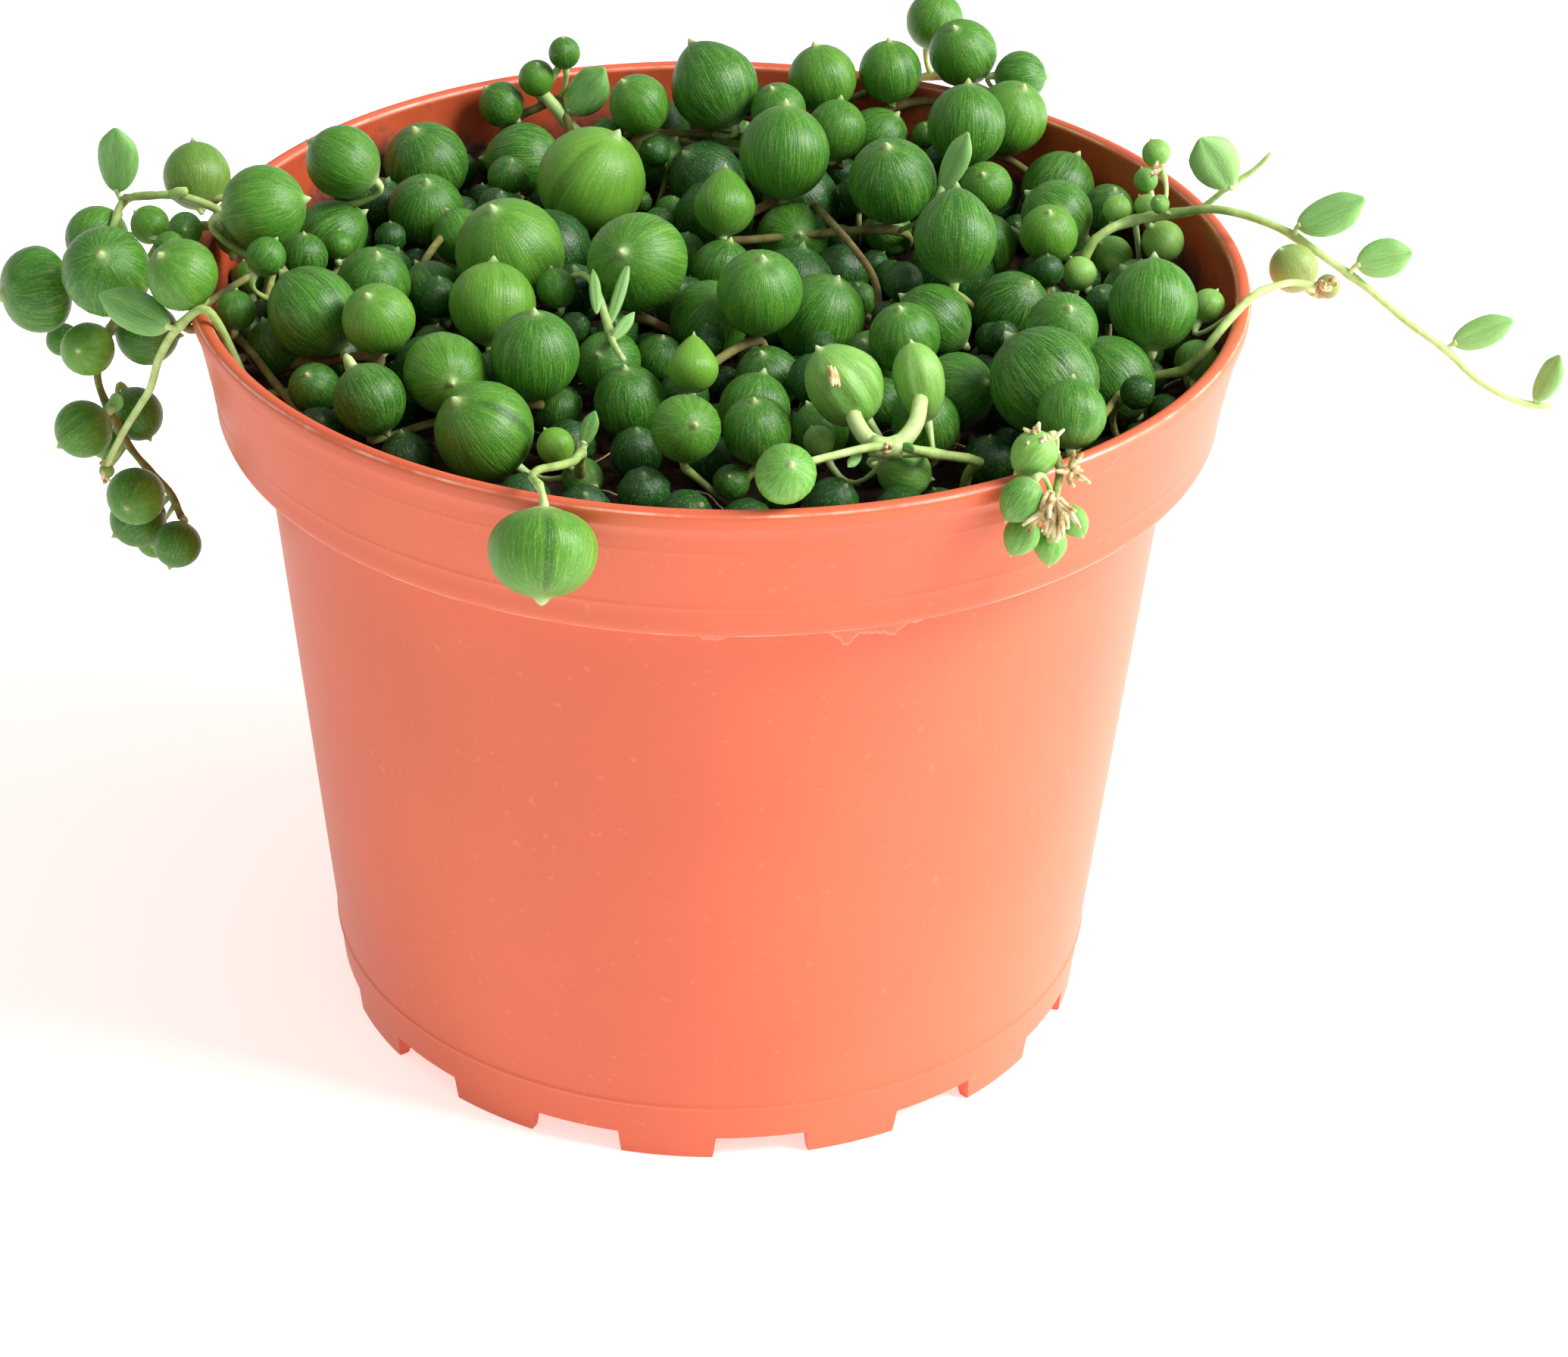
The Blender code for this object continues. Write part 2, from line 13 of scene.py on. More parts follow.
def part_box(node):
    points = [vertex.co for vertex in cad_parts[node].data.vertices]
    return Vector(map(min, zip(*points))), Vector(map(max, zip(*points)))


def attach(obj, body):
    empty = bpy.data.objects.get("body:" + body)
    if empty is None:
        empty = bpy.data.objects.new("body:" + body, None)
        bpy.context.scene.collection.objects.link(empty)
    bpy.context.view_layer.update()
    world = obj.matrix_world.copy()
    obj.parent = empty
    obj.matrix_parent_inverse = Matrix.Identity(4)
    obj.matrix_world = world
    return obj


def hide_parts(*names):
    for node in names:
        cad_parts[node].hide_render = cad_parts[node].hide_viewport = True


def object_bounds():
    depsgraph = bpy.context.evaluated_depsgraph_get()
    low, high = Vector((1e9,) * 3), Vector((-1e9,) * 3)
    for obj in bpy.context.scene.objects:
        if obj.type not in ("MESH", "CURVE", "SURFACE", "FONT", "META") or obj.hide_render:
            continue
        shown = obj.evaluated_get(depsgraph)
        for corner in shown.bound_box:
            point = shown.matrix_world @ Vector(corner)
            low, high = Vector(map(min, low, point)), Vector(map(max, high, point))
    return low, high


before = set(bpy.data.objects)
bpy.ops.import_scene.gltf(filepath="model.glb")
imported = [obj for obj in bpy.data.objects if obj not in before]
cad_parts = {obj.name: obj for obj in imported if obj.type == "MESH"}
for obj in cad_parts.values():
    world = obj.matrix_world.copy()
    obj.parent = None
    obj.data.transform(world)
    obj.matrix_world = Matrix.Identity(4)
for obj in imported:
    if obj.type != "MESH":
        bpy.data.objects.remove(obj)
cad_bounds = [list(corner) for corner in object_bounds()]


# ---- Camera: a short telephoto that looks down on the pot from the front, held with a
# slight roll. It aims a little to the right of the pot's axis, at half height.
MM = 0.001
CAMERA_ELEVATION, CAMERA_ROLL = np.radians(30.98), np.radians(1.51)
CAMERA_DISTANCE, CAMERA_AIM = 420.0, (7.35, 0.0, 33.0)
LENS, SENSOR, NEAREST = 91.53, 36.0, 0.01

pot_low, pot_high = np.array(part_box("pot")) / MM
AXIS = np.array([(pot_low[0] + pot_high[0]) / 2, (pot_low[1] + pot_high[1]) / 2, pot_low[2]])


def aim_camera():
    """The camera looks along -Z of its own frame, turned by the roll about that line."""
    back = np.array([0, -np.cos(CAMERA_ELEVATION), np.sin(CAMERA_ELEVATION)])
    right = np.array([1.0, 0, 0])
    up = np.array([0, np.sin(CAMERA_ELEVATION), np.cos(CAMERA_ELEVATION)])
    across = np.cos(CAMERA_ROLL) * right + np.sin(CAMERA_ROLL) * up
    upward = np.cos(CAMERA_ROLL) * up - np.sin(CAMERA_ROLL) * right
    eye = (AXIS + CAMERA_AIM + back * CAMERA_DISTANCE) * MM
    lens = bpy.data.cameras.new("camera")
    lens.lens, lens.sensor_width, lens.clip_start = LENS, SENSOR, NEAREST
    camera = bpy.data.objects.new("camera", lens)
    turn = Matrix(np.array([across, upward, back]).T.tolist()).to_4x4()
    camera.matrix_world = Matrix.Translation(eye) @ turn
    bpy.context.scene.collection.objects.link(camera)
    bpy.context.scene.camera = camera


aim_camera()


# ---- Light and floor: a white sweep, itself lit from below, under even white light. One
# large softbox hangs high at the right and a weaker one stands beside the pot there.
WORLD_STRENGTH = 0.50
KEY = {"place": (0.66, -0.16, 0.66), "size": 0.42, "watts": 11.5}
SIDE = {"place": (0.80, 0.02, 0.16), "size": 0.45, "watts": 4.0}
FLOOR_HALF, FLOOR_GLOW = 3.0, 0.55


def linear(colour):
    """Linear RGBA of an sRGB hex colour."""
    channels = np.array([int(colour[i:i + 2], 16) for i in (0, 2, 4)]) / 255
    bright = ((channels + 0.055) / 1.055) ** 2.4
    return [*np.where(channels > 0.04045, bright, channels / 12.92).tolist(), 1.0]


def add(tree, kind, inputs=None, stops=None, **settings):
    """Add a node: settings are its properties, inputs are values or outputs to link to, and
    stops are (place, sRGB hex or grey) of a colour ramp."""
    made = tree.nodes.new("ShaderNode" + kind)
    for key, value in settings.items():
        setattr(made, key, value)
    for key, value in (inputs or {}).items():
        if isinstance(value, bpy.types.NodeSocket):
            tree.links.new(value, made.inputs[key])
        else:
            made.inputs[key].default_value = linear(value) if isinstance(value, str) else value
    for i, (place, value) in enumerate(stops or []):
        elements = made.color_ramp.elements
        stop = elements[i] if i < 2 else elements.new(place)
        stop.position = place
        stop.color = linear(value) if isinstance(value, str) else (value, value, value, 1)
    return made


def material(name):
    """A new material's node tree and its Principled shader."""
    made = bpy.data.materials.new(name)
    made.use_nodes = True
    return made, made.node_tree, made.node_tree.nodes["Principled BSDF"]


def softbox(name, place, size, watts):
    """A square light that faces the pot."""
    lamp = bpy.data.lights.new(name, "AREA")
    lamp.size, lamp.energy = size, watts
    made = bpy.data.objects.new(name, lamp)
    made.location = place
    made.rotation_euler = Vector(place).to_track_quat("Z", "Y").to_euler()
    bpy.context.scene.collection.objects.link(made)


def add_mesh(name, vertices, faces, finish):
    """An object at the origin from vertices in mm about the pot's axis, and its faces."""
    mesh = bpy.data.meshes.new(name)
    placed = (np.asarray(vertices, float) + AXIS) * MM
    mesh.from_pydata(placed.tolist(), [], faces)
    mesh.shade_smooth()
    mesh.materials.append(finish)
    made = bpy.data.objects.new(name, mesh)
    bpy.context.scene.collection.objects.link(made)
    return made


softbox("key", **KEY)
softbox("side", **SIDE)
scene_world = bpy.data.worlds.new("studio")
bpy.context.scene.world = scene_world
scene_world.use_nodes = True
background = scene_world.node_tree.nodes["Background"]
background.inputs["Color"].default_value = (1, 1, 1, 1)
background.inputs["Strength"].default_value = WORLD_STRENGTH
bpy.context.scene.view_settings.view_transform = "Standard"

# White paper sweep, matt, with the faintest warm tone.
paper, _, paper_shader = material("white_paper_sweep")
paper_shader.inputs["Base Color"].default_value = linear("F6F4F0")
paper_shader.inputs["Roughness"].default_value = 0.95
paper_shader.inputs["Specular IOR Level"].default_value = 0.1
paper_shader.inputs["Emission Color"].default_value = linear("FFFDFA")
paper_shader.inputs["Emission Strength"].default_value = FLOOR_GLOW
corners = np.array([(-1, -1, 0), (1, -1, 0), (1, 1, 0), (-1, 1, 0)]) * FLOOR_HALF / MM
sweep = add_mesh("floor", corners, [(0, 1, 2, 3)], paper)


# ---- Pot: one thin shot of polypropylene. A tapered wall with a wider band under a beaded
# lip, a raised floor with drain holes, and a foot ring with 13 notches moulded into it.
POT_HEIGHT, BAND_HEIGHT, WALL = 81.1, 14.0, 1.2
RIM_RADIUS, BAND_LOW_RADIUS, BODY_TOP_RADIUS, BASE_RADIUS = 52.5, 50.1, 46.0, 39.6
LIP_RADIUS, BEAD_DEPTH, BEAD_STEP = 0.8, 1.9, 0.22
FLOOR_UNDERSIDE = 3.0
FOOT_COUNT, FOOT_TURN, NOTCH_DEGREES, NOTCH_HEIGHT = 13, -4.7, 13.5, 2.6
NOTCH_CORNER, FOOT_EDGE, FLAT_RADIUS, DRAIN_TURNS = 0.7, 0.12, 12, 24
NOTCH_STEPS, NOTCH_INSET, FOOT_STEPS, FOOT_INSET = 7, 1.5, 8, 2.0
MOULD_LINE, MOULD_LINE_RISE, MOULD_LINE_WIDTH = 6.7, 0.16, 0.22
# Moulding lines round the band: height and rise.
BAND_LINES, BAND_LINE_WIDTH = ((70.3, 0.07), (76.6, 0.035)), 0.2
# Heights of the edges that carry thin painted highlight lines: the band's low edge and the lip.
HIGHLIGHT_EDGES = (67.2, 80.78)
DRAIN_COUNT, DRAIN_RING_RADIUS, DRAIN_RADIUS = 8, 26.0, 3.5
TERRACOTTA_DEEP, TERRACOTTA, TERRACOTTA_LIGHT, SPECK = "CF5B39", "D9633F", "DD6946", "EE9473"
STAIN, EDGE_HIGHLIGHT, INNER_SHADE_DEEP, INNER_SHADE, PEAT_SMEAR_AND_SHADE = "EFA98E", "F9C6AC", "AE4726", "C05430", "3A2118"


def body_radius(z):
    """Outer radius of the tapered wall: a straight line in z."""
    return BASE_RADIUS + (BODY_TOP_RADIUS - BASE_RADIUS) * z / (POT_HEIGHT - BAND_HEIGHT)


def band_radius(z):
    """Outer radius of the rim band: a straight line in z, steeper than the wall's."""
    share = (z - POT_HEIGHT + BAND_HEIGHT) / (BAND_HEIGHT - LIP_RADIUS)
    return BAND_LOW_RADIUS + (RIM_RADIUS - BAND_LOW_RADIUS) * share


def smooth(low, high, value):
    """0 below low, 1 above high, and an S-curve 3t^2 - 2t^3 between."""
    share = np.clip((value - low) / (high - low), 0, 1)
    return share * share * (3 - 2 * share)


def closed_grid(levels, turns):
    """Faces and UVs of a closed surface: a pole, rings of points, a pole. Quads join
    neighbours on two rings and triangles join a pole to its ring. u is each point's share
    of a turn (turns, ending in 1) and v each ring's level (levels, poles included)."""
    rings, count = len(levels) - 2, len(turns) - 1
    i = np.arange(count)
    j = (i + 1) % count
    low = 1 + count * np.arange(rings - 1)[:, None]
    quads = np.stack([low + i, low + j, low + count + j, low + count + i], -1).reshape(-1, 4)
    last = 1 + rings * count
    ends = np.concatenate([np.stack([0 * i, 1 + j, 1 + i], -1),
                           np.stack([last - count + i, last - count + j, last + 0 * i], -1)])
    u, next_u, v = turns[:-1], turns[1:], np.asarray(levels, float)
    flat = np.ones((rings - 1, count))
    quad_uv = np.stack([np.stack([u * flat, v[1:-2, None] * flat], -1),
                        np.stack([next_u * flat, v[1:-2, None] * flat], -1),
                        np.stack([next_u * flat, v[2:-1, None] * flat], -1),
                        np.stack([u * flat, v[2:-1, None] * flat], -1)], 2).reshape(-1, 2)
    middle, one = (u + next_u) / 2, np.ones(count)
    first_uv = np.stack([np.stack([middle, v[0] * one], -1), np.stack([next_u, v[1] * one], -1),
                         np.stack([u, v[1] * one], -1)], 1).reshape(-1, 2)
    last_uv = np.stack([np.stack([u, v[-2] * one], -1), np.stack([next_u, v[-2] * one], -1),
                        np.stack([middle, v[-1] * one], -1)], 1).reshape(-1, 2)
    return quads, ends, np.concatenate([quad_uv, first_uv, last_uv])


def repeated(quads, ends, size, count):
    """The faces of count copies of a closed grid that has size points."""
    start = size * np.arange(count)[:, None, None]
    return (quads + start).reshape(-1, 4).tolist() + (ends + start).reshape(-1, 3).tolist()


def turned(profile, angles, lift=None):
    """Vertices of a profile of (radius, z) carried round Z through angles, its first and
    last points being poles. lift(radius, z, angle) gives each point's own radius and z."""
    radius, z = profile[1:-1, 0][:, None], profile[1:-1, 1][:, None]
    angle = np.asarray(angles)[None, :]
    radius, z = radius + 0 * angle, z + 0 * angle
    if lift:
        radius, z = lift(radius, z, angle + 0 * radius)
    rings = np.stack([radius * np.sin(angle), -radius * np.cos(angle), z], -1).reshape(-1, 3)
    return np.vstack([(0, 0, profile[0][1]), rings, (0, 0, profile[-1][1])])


def notch_angles():
    """Angles from the front: even steps between the notches, close ones at their sides."""
    pitch, half, corner = 360 / FOOT_COUNT, NOTCH_DEGREES / 2, NOTCH_CORNER
    side = np.array([-corner, -corner / 2, -corner / 6, 0, corner / 6])
    notch = np.linspace(NOTCH_INSET - half, half - NOTCH_INSET, NOTCH_STEPS)
    foot = np.linspace(half + FOOT_INSET, pitch - half - FOOT_INSET, FOOT_STEPS)
    offsets = np.concatenate([side - half, notch, half - side[::-1], foot])
    middles = FOOT_TURN + pitch * (np.arange(FOOT_COUNT) + 0.5)
    return np.radians((middles[:, None] + offsets).ravel())


def notched_foot(radius, z, angle):
    """Squeeze the foot ring upward inside each notch, along its own slope: z rises by the
    notch height times what is left up to the ring's root."""
    pitch = np.radians(360 / FOOT_COUNT)
    turn = (angle - np.radians(FOOT_TURN)) / pitch % 1 - 0.5
    from_middle = np.abs(np.degrees(turn * pitch))
    open_share = 1 - smooth(NOTCH_DEGREES / 2 - NOTCH_CORNER / 6,
                            NOTCH_DEGREES / 2 + NOTCH_CORNER / 2, from_middle)
    outside = np.abs(radius - body_radius(z)) < 0.01
    root = np.where(outside, MOULD_LINE - 1, FLOOR_UNDERSIDE)
    raised = z + NOTCH_HEIGHT * open_share * np.clip(1 - z / root, 0, 1)
    low = z < root
    radius = np.where(low & outside, body_radius(raised), radius)
    return radius, np.where(low, raised, z)


def pot_profile():
    """The pot's closed section: under the floor, up the outside, over the lip, down the
    inside. Each moulding line is a low bell in radius."""
    band_low, lip_z = POT_HEIGHT - BAND_HEIGHT, POT_HEIGHT - LIP_RADIUS
    floor_top = FLOOR_UNDERSIDE + WALL
    under = [(0, FLOOR_UNDERSIDE), (FLAT_RADIUS, FLOOR_UNDERSIDE),
             (BASE_RADIUS - 2.2 * WALL, FLOOR_UNDERSIDE),
             (BASE_RADIUS - 1.9 * WALL, 2.75), (BASE_RADIUS - 1.5 * WALL, 1.5),
             (BASE_RADIUS - WALL, FOOT_EDGE), (BASE_RADIUS - 0.9 * WALL, 0.0),
             (BASE_RADIUS - 0.15 * WALL, 0.0)]
    z = np.concatenate([[FOOT_EDGE, 0.6, 1.5, 3.0, 4.5, 5.6], np.linspace(6.1, 7.3, 9),
                        np.linspace(8.5, band_low - 1.2, 26)])
    bell = MOULD_LINE_RISE * np.exp(-((z - MOULD_LINE) / MOULD_LINE_WIDTH) ** 2)
    wall = np.stack([body_radius(z) + bell, z], -1)
    root = body_radius(band_low)
    step = [(root + 0.05, band_low - 0.5), (root + 0.3, band_low - 0.12), (root + 0.8, band_low),
            (BAND_LOW_RADIUS - 0.5, band_low), (BAND_LOW_RADIUS - 0.12, band_low + 0.1),
            (BAND_LOW_RADIUS, band_low + 0.4)]
    z = np.unique(np.concatenate([np.linspace(band_low + 0.8, POT_HEIGHT - BEAD_DEPTH - 0.3, 14)]
                                 + [line + np.linspace(-0.5, 0.5, 7) for line, _ in BAND_LINES]))
    bell = sum(rise * np.exp(-((z - line) / BAND_LINE_WIDTH) ** 2) for line, rise in BAND_LINES)
    band = np.stack([band_radius(z) - BEAD_STEP * smooth(0.8, 2.0, z - band_low) + bell, z], -1)
    bead = [(RIM_RADIUS - 0.12, POT_HEIGHT - BEAD_DEPTH),
            (RIM_RADIUS - 0.02, POT_HEIGHT - BEAD_DEPTH + 0.35)]
    turn = np.linspace(0, np.pi, 11)
    lip = np.stack([RIM_RADIUS - LIP_RADIUS * (1 - np.cos(turn)),
                    lip_z + LIP_RADIUS * np.sin(turn)], -1)
    z = np.linspace(lip_z - 1, band_low + WALL + 1, 8)
    inner_band = np.stack([band_radius(z) - WALL - 0.2, z], -1)
    shelf = band_radius(band_low + WALL) - WALL
    inner_step = [(shelf, band_low + WALL + 0.4), (shelf - 0.4, band_low + WALL),
                  (root - WALL + 0.4, band_low + 0.2), (root - WALL, band_low - 0.4)]
    z = np.linspace(band_low - 2, floor_top + 1, 12)
    inner_wall = np.stack([body_radius(z) - WALL, z], -1)
    floor = [(body_radius(floor_top) - WALL - 0.6, floor_top), (FLAT_RADIUS, floor_top),
             (0, floor_top)]
    return np.concatenate([under, wall, step, band, bead, lip,
                           inner_band, inner_step, inner_wall, floor])


def drain_plugs():
    """Eight short round rods through the floor, to be cut out of it."""
    low, high = FLOOR_UNDERSIDE - 1, FLOOR_UNDERSIDE + WALL + 1
    rod = np.array([(0, low), (DRAIN_RADIUS, low), (DRAIN_RADIUS, high), (0, high)])
    turns = np.linspace(0, 1, DRAIN_TURNS + 1)
    vertices = turned(rod, turns[:-1] * 2 * np.pi)
    quads, ends, _ = closed_grid((0, 0.3, 0.7, 1), turns)
    angle = np.arange(DRAIN_COUNT) * 2 * np.pi / DRAIN_COUNT
    place = DRAIN_RING_RADIUS * np.stack([np.cos(angle), np.sin(angle), 0 * angle], -1)
    every = (vertices[None] + place[:, None]).reshape(-1, 3)
    return every, repeated(quads, ends, len(vertices), DRAIN_COUNT)


def moulded_polypropylene():
    """Pigmented polypropylene from a matt steel mould: satin, a fine grain, slow cloudy
    flow marks in its colour, and pale outlines where splashes dried under the band."""
    made, tree, shader = material("moulded_polypropylene_terracotta")
    place = add(tree, "TexCoord").outputs["Object"]
    cloud = add(tree, "TexNoise", {"Vector": place, "Scale": 26.0, "Detail": 3.0, "Roughness": 0.5})
    tone = add(tree, "ValToRGB", {"Fac": cloud.outputs["Fac"]},
               [(0.32, TERRACOTTA_DEEP), (0.62, TERRACOTTA), (0.9, TERRACOTTA_LIGHT)])
    fine = add(tree, "TexNoise", {"Vector": place, "Scale": 900.0, "Detail": 2.0})
    speck = add(tree, "MapRange", {"Value": fine.outputs["Fac"], "From Min": 0.66, "From Max": 0.78,
                                   "To Max": 0.25})
    specked = add(tree, "Mix", {"Factor": speck.outputs["Result"], "A": tone.outputs["Color"],
                                "B": SPECK}, data_type="RGBA")
    # Dried drips: the band's lower edge, carried down by a noise that changes with the turn.
    # Water left a thin pale outline at each drip's edge and a fainter film above it.
    around = add(tree, "Mapping", {"Vector": place, "Scale": (1.0, 1.0, 0.15)})
    drip = add(tree, "TexNoise", {"Vector": around.outputs["Vector"], "Scale": 62.0, "Detail": 4.5,
                                  "Roughness": 0.62})
    depth = add(tree, "MapRange", {"Value": drip.outputs["Fac"], "From Min": 0.45, "From Max": 0.70,
                                   "To Max": 0.0050})
    height = add(tree, "SeparateXYZ", {"Vector": place})
    under = add(tree, "Math", {0: (POT_HEIGHT - BAND_HEIGHT) * MM, 1: height.outputs["Z"]},
                operation="SUBTRACT")
    inset = add(tree, "Math", {0: depth.outputs["Result"], 1: under.outputs["Value"]},
                operation="SUBTRACT")
    edge = add(tree, "Math", {0: inset.outputs["Value"]}, operation="ABSOLUTE")
    line = add(tree, "MapRange", {"Value": edge.outputs["Value"], "From Min": 0.00006, "From Max": 0.00022,
                                  "To Min": 0.42, "To Max": 0.0})
    film = add(tree, "MapRange", {"Value": inset.outputs["Value"], "From Min": 0.0, "From Max": 0.0002,
                                  "To Max": 0.10})
    wet = add(tree, "Math", {0: line.outputs["Result"], 1: film.outputs["Result"]},
              operation="MAXIMUM")
    below = add(tree, "MapRange", {"Value": under.outputs["Value"], "From Min": 0.0003, "From Max": 0.0009})
    stain = add(tree, "Math", {0: wet.outputs["Value"], 1: below.outputs["Result"]},
                operation="MULTIPLY")
    stained = add(tree, "Mix", {"Factor": stain.outputs["Value"], "A": specked.outputs["Result"],
                                "B": STAIN}, data_type="RGBA")
    # Painted highlights: a thin pale line at each edge, broken by a noise.
    broken = add(tree, "TexNoise", {"Vector": place, "Scale": 150.0, "Detail": 4.0, "Roughness": 0.7})
    highlight_break = add(tree, "MapRange", {"Value": broken.outputs["Fac"], "From Min": 0.40, "From Max": 0.62,
                                   "To Min": 0.10, "To Max": 0.75}).outputs["Result"]
    highlight_lines = 0.0
    for edge_height in HIGHLIGHT_EDGES:
        off = add(tree, "Math", {0: height.outputs["Z"], 1: edge_height * MM}, operation="SUBTRACT")
        near = add(tree, "Math", {0: off.outputs["Value"]}, operation="ABSOLUTE")
        thin = add(tree, "MapRange", {"Value": near.outputs["Value"], "From Min": 0.00004, "From Max": 0.00013,
                                      "To Min": 1.0, "To Max": 0.0})
        highlight_lines = add(tree, "Math", {0: thin.outputs["Result"], 1: highlight_lines},
                    operation="MAXIMUM").outputs["Value"]
    highlight_mask = add(tree, "Math", {0: highlight_lines, 1: highlight_break}, operation="MULTIPLY")
    highlighted = add(tree, "Mix", {"Factor": highlight_mask.outputs["Value"], "A": stained.outputs["Result"],
                                "B": EDGE_HIGHLIGHT}, data_type="RGBA")
    tree.links.new(highlighted.outputs["Result"], shader.inputs["Base Color"])
    rough = add(tree, "MapRange", {"Value": cloud.outputs["Fac"], "To Min": 0.38, "To Max": 0.46})
    tree.links.new(rough.outputs["Result"], shader.inputs["Roughness"])
    shader.inputs["IOR"].default_value = 1.49
    grain = add(tree, "TexNoise", {"Vector": place, "Scale": 2600.0, "Detail": 2.0})
    bump = add(tree, "Bump", {"Height": grain.outputs["Fac"], "Strength": 0.10, "Distance": 0.0001})
    ripple = add(tree, "Bump", {"Height": cloud.outputs["Fac"], "Strength": 0.12, "Distance": 0.002,
                                "Normal": bump.outputs["Normal"]})
    tree.links.new(ripple.outputs["Normal"], shader.inputs["Normal"])
    return made


def shaded_inner_wall():
    """The same polypropylene inside, painted deeper in colour as shade, glossier, and
    dusted and smeared with peat towards the soil, darker there as dirt and as painted shade."""
    made, tree, shader = material("shaded_polypropylene_inner_wall")
    place = add(tree, "TexCoord").outputs["Object"]
    height = add(tree, "SeparateXYZ", {"Vector": place})
    smear = add(tree, "TexNoise", {"Vector": place, "Scale": 210.0, "Detail": 4.0, "Roughness": 0.65})
    near_soil = add(tree, "MapRange", {"Value": height.outputs["Z"], "From Min": 0.0725, "From Max": 0.0790,
                                       "To Min": 0.75, "To Max": 0.28})
    dirt_and_shade = add(tree, "Math", {0: near_soil.outputs["Result"], 1: smear.outputs["Fac"]},
                 operation="ADD")
    dust = add(tree, "MapRange", {"Value": dirt_and_shade.outputs["Value"], "From Min": 0.92, "From Max": 1.18})
    # The whole inner wall is painted a deeper tone than the outside as shade; towards the soil the peat smear
    # darkens it further, as dirt and as painted shade.
    tone = add(tree, "ValToRGB", {"Fac": smear.outputs["Fac"]}, [(0.3, INNER_SHADE_DEEP), (0.7, INNER_SHADE)])
    wall = add(tree, "Mix", {"Factor": dust.outputs["Result"], "A": tone.outputs["Color"],
                             "B": PEAT_SMEAR_AND_SHADE}, data_type="RGBA")
    tree.links.new(wall.outputs["Result"], shader.inputs["Base Color"])
    rough = add(tree, "MapRange", {"Value": dust.outputs["Result"], "To Min": 0.38, "To Max": 0.8})
    tree.links.new(rough.outputs["Result"], shader.inputs["Roughness"])
    shader.inputs["IOR"].default_value = 1.49
    bump = add(tree, "Bump", {"Height": smear.outputs["Fac"], "Strength": 0.15, "Distance": 0.0005})
    tree.links.new(bump.outputs["Normal"], shader.inputs["Normal"])
    return made


def build_pot():
    """The turned pot with its drain holes cut through."""
    profile, angles = pot_profile(), notch_angles()
    order = np.argsort(angles % (2 * np.pi))
    angles = (angles % (2 * np.pi))[order]
    turns = np.append(angles, angles[0] + 2 * np.pi) / (2 * np.pi)
    quads, ends, _ = closed_grid(np.linspace(0, 1, len(profile)), turns)
    pot = add_mesh("nursery_pot", turned(profile, angles, notched_foot),
                   quads.tolist() + ends.tolist(), moulded_polypropylene())
    pot.data.materials.append(shaded_inner_wall())
    inside = np.flatnonzero((profile[1:-1, 0] < RIM_RADIUS - 1.9 * LIP_RADIUS)
                            & (np.arange(1, len(profile) - 1) > np.argmax(profile[:, 1])))
    # Faces run ring by ring, then the two poles' fans: the last of those is the inner floor's.
    finish = np.zeros(len(quads) + len(ends), int)
    finish[inside[0] * len(angles):len(quads)] = 1
    finish[len(quads) + len(angles):] = 1
    pot.data.polygons.foreach_set("material_index", finish)
    plug_vertices, plug_faces = drain_plugs()
    plugs = add_mesh("drain_plugs", plug_vertices, plug_faces, pot.data.materials[0])
    holes = pot.modifiers.new("drain_holes", "BOOLEAN")
    holes.operation, holes.solver, holes.object = "DIFFERENCE", "EXACT", plugs
    bpy.context.view_layer.update()
    cut = pot.evaluated_get(bpy.context.evaluated_depsgraph_get())
    holed = bpy.data.meshes.new_from_object(cut)
    pot.modifiers.clear()
    pot.data = holed
    bpy.data.objects.remove(plugs)
    pot.data.shade_smooth()
    pot.data.set_sharp_from_angle(angle=np.radians(50))
    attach(pot, "root")
    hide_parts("pot")


build_pot()


# ---- Soil: damp peat compost that fills the pot to a few millimetres under the rim. Its top
# is crumbly, with loose crumbs lying on it.
GAP, BAND_INSET = 0.3, 0.3
SOIL_TOP, SOIL_BUMP, SOIL_TURNS, SOIL_RINGS, MIDDLE_RADIUS = 72.2, 0.35, 180, 70, 0.7
WAVE_COUNT, WAVE_TURN, WAVE_PACE, WAVE_STEP = 14, 2.4, 1.1, 1.16
WAVE_RISE, SOIL_SINK = 0.16, 0.25
PEAT_DARK, PEAT_BROWN, PEAT_LIGHT = "1A110C", "3A271B", "6B4A30"
CRUMBS, CRUMB_SIZE = 900, (0.35, 1.1)
SEED = 23

draws = np.random.default_rng(SEED)


def soil_height(x, y):
    """Height of the soil's top: two crossed waves that fade out at the wall, and finer
    waves in many directions for its crumbs."""
    fade = np.clip(1 - (np.hypot(x, y) / BODY_TOP_RADIUS) ** 4, 0, None)
    slow = SOIL_BUMP * (np.sin(x / 7.0) * np.cos(y / 6.0) + 0.5 * np.sin((x - y) / 4.0))
    turn = np.arange(WAVE_COUNT) * WAVE_TURN
    pace = WAVE_PACE * WAVE_STEP ** np.arange(WAVE_COUNT)
    across = np.asarray(x)[..., None] * np.cos(turn) + np.asarray(y)[..., None] * np.sin(turn)
    waves = np.sin(pace * across + turn * turn) / pace
    return SOIL_TOP + fade * (slow + WAVE_RISE * waves.sum(-1)) - SOIL_SINK


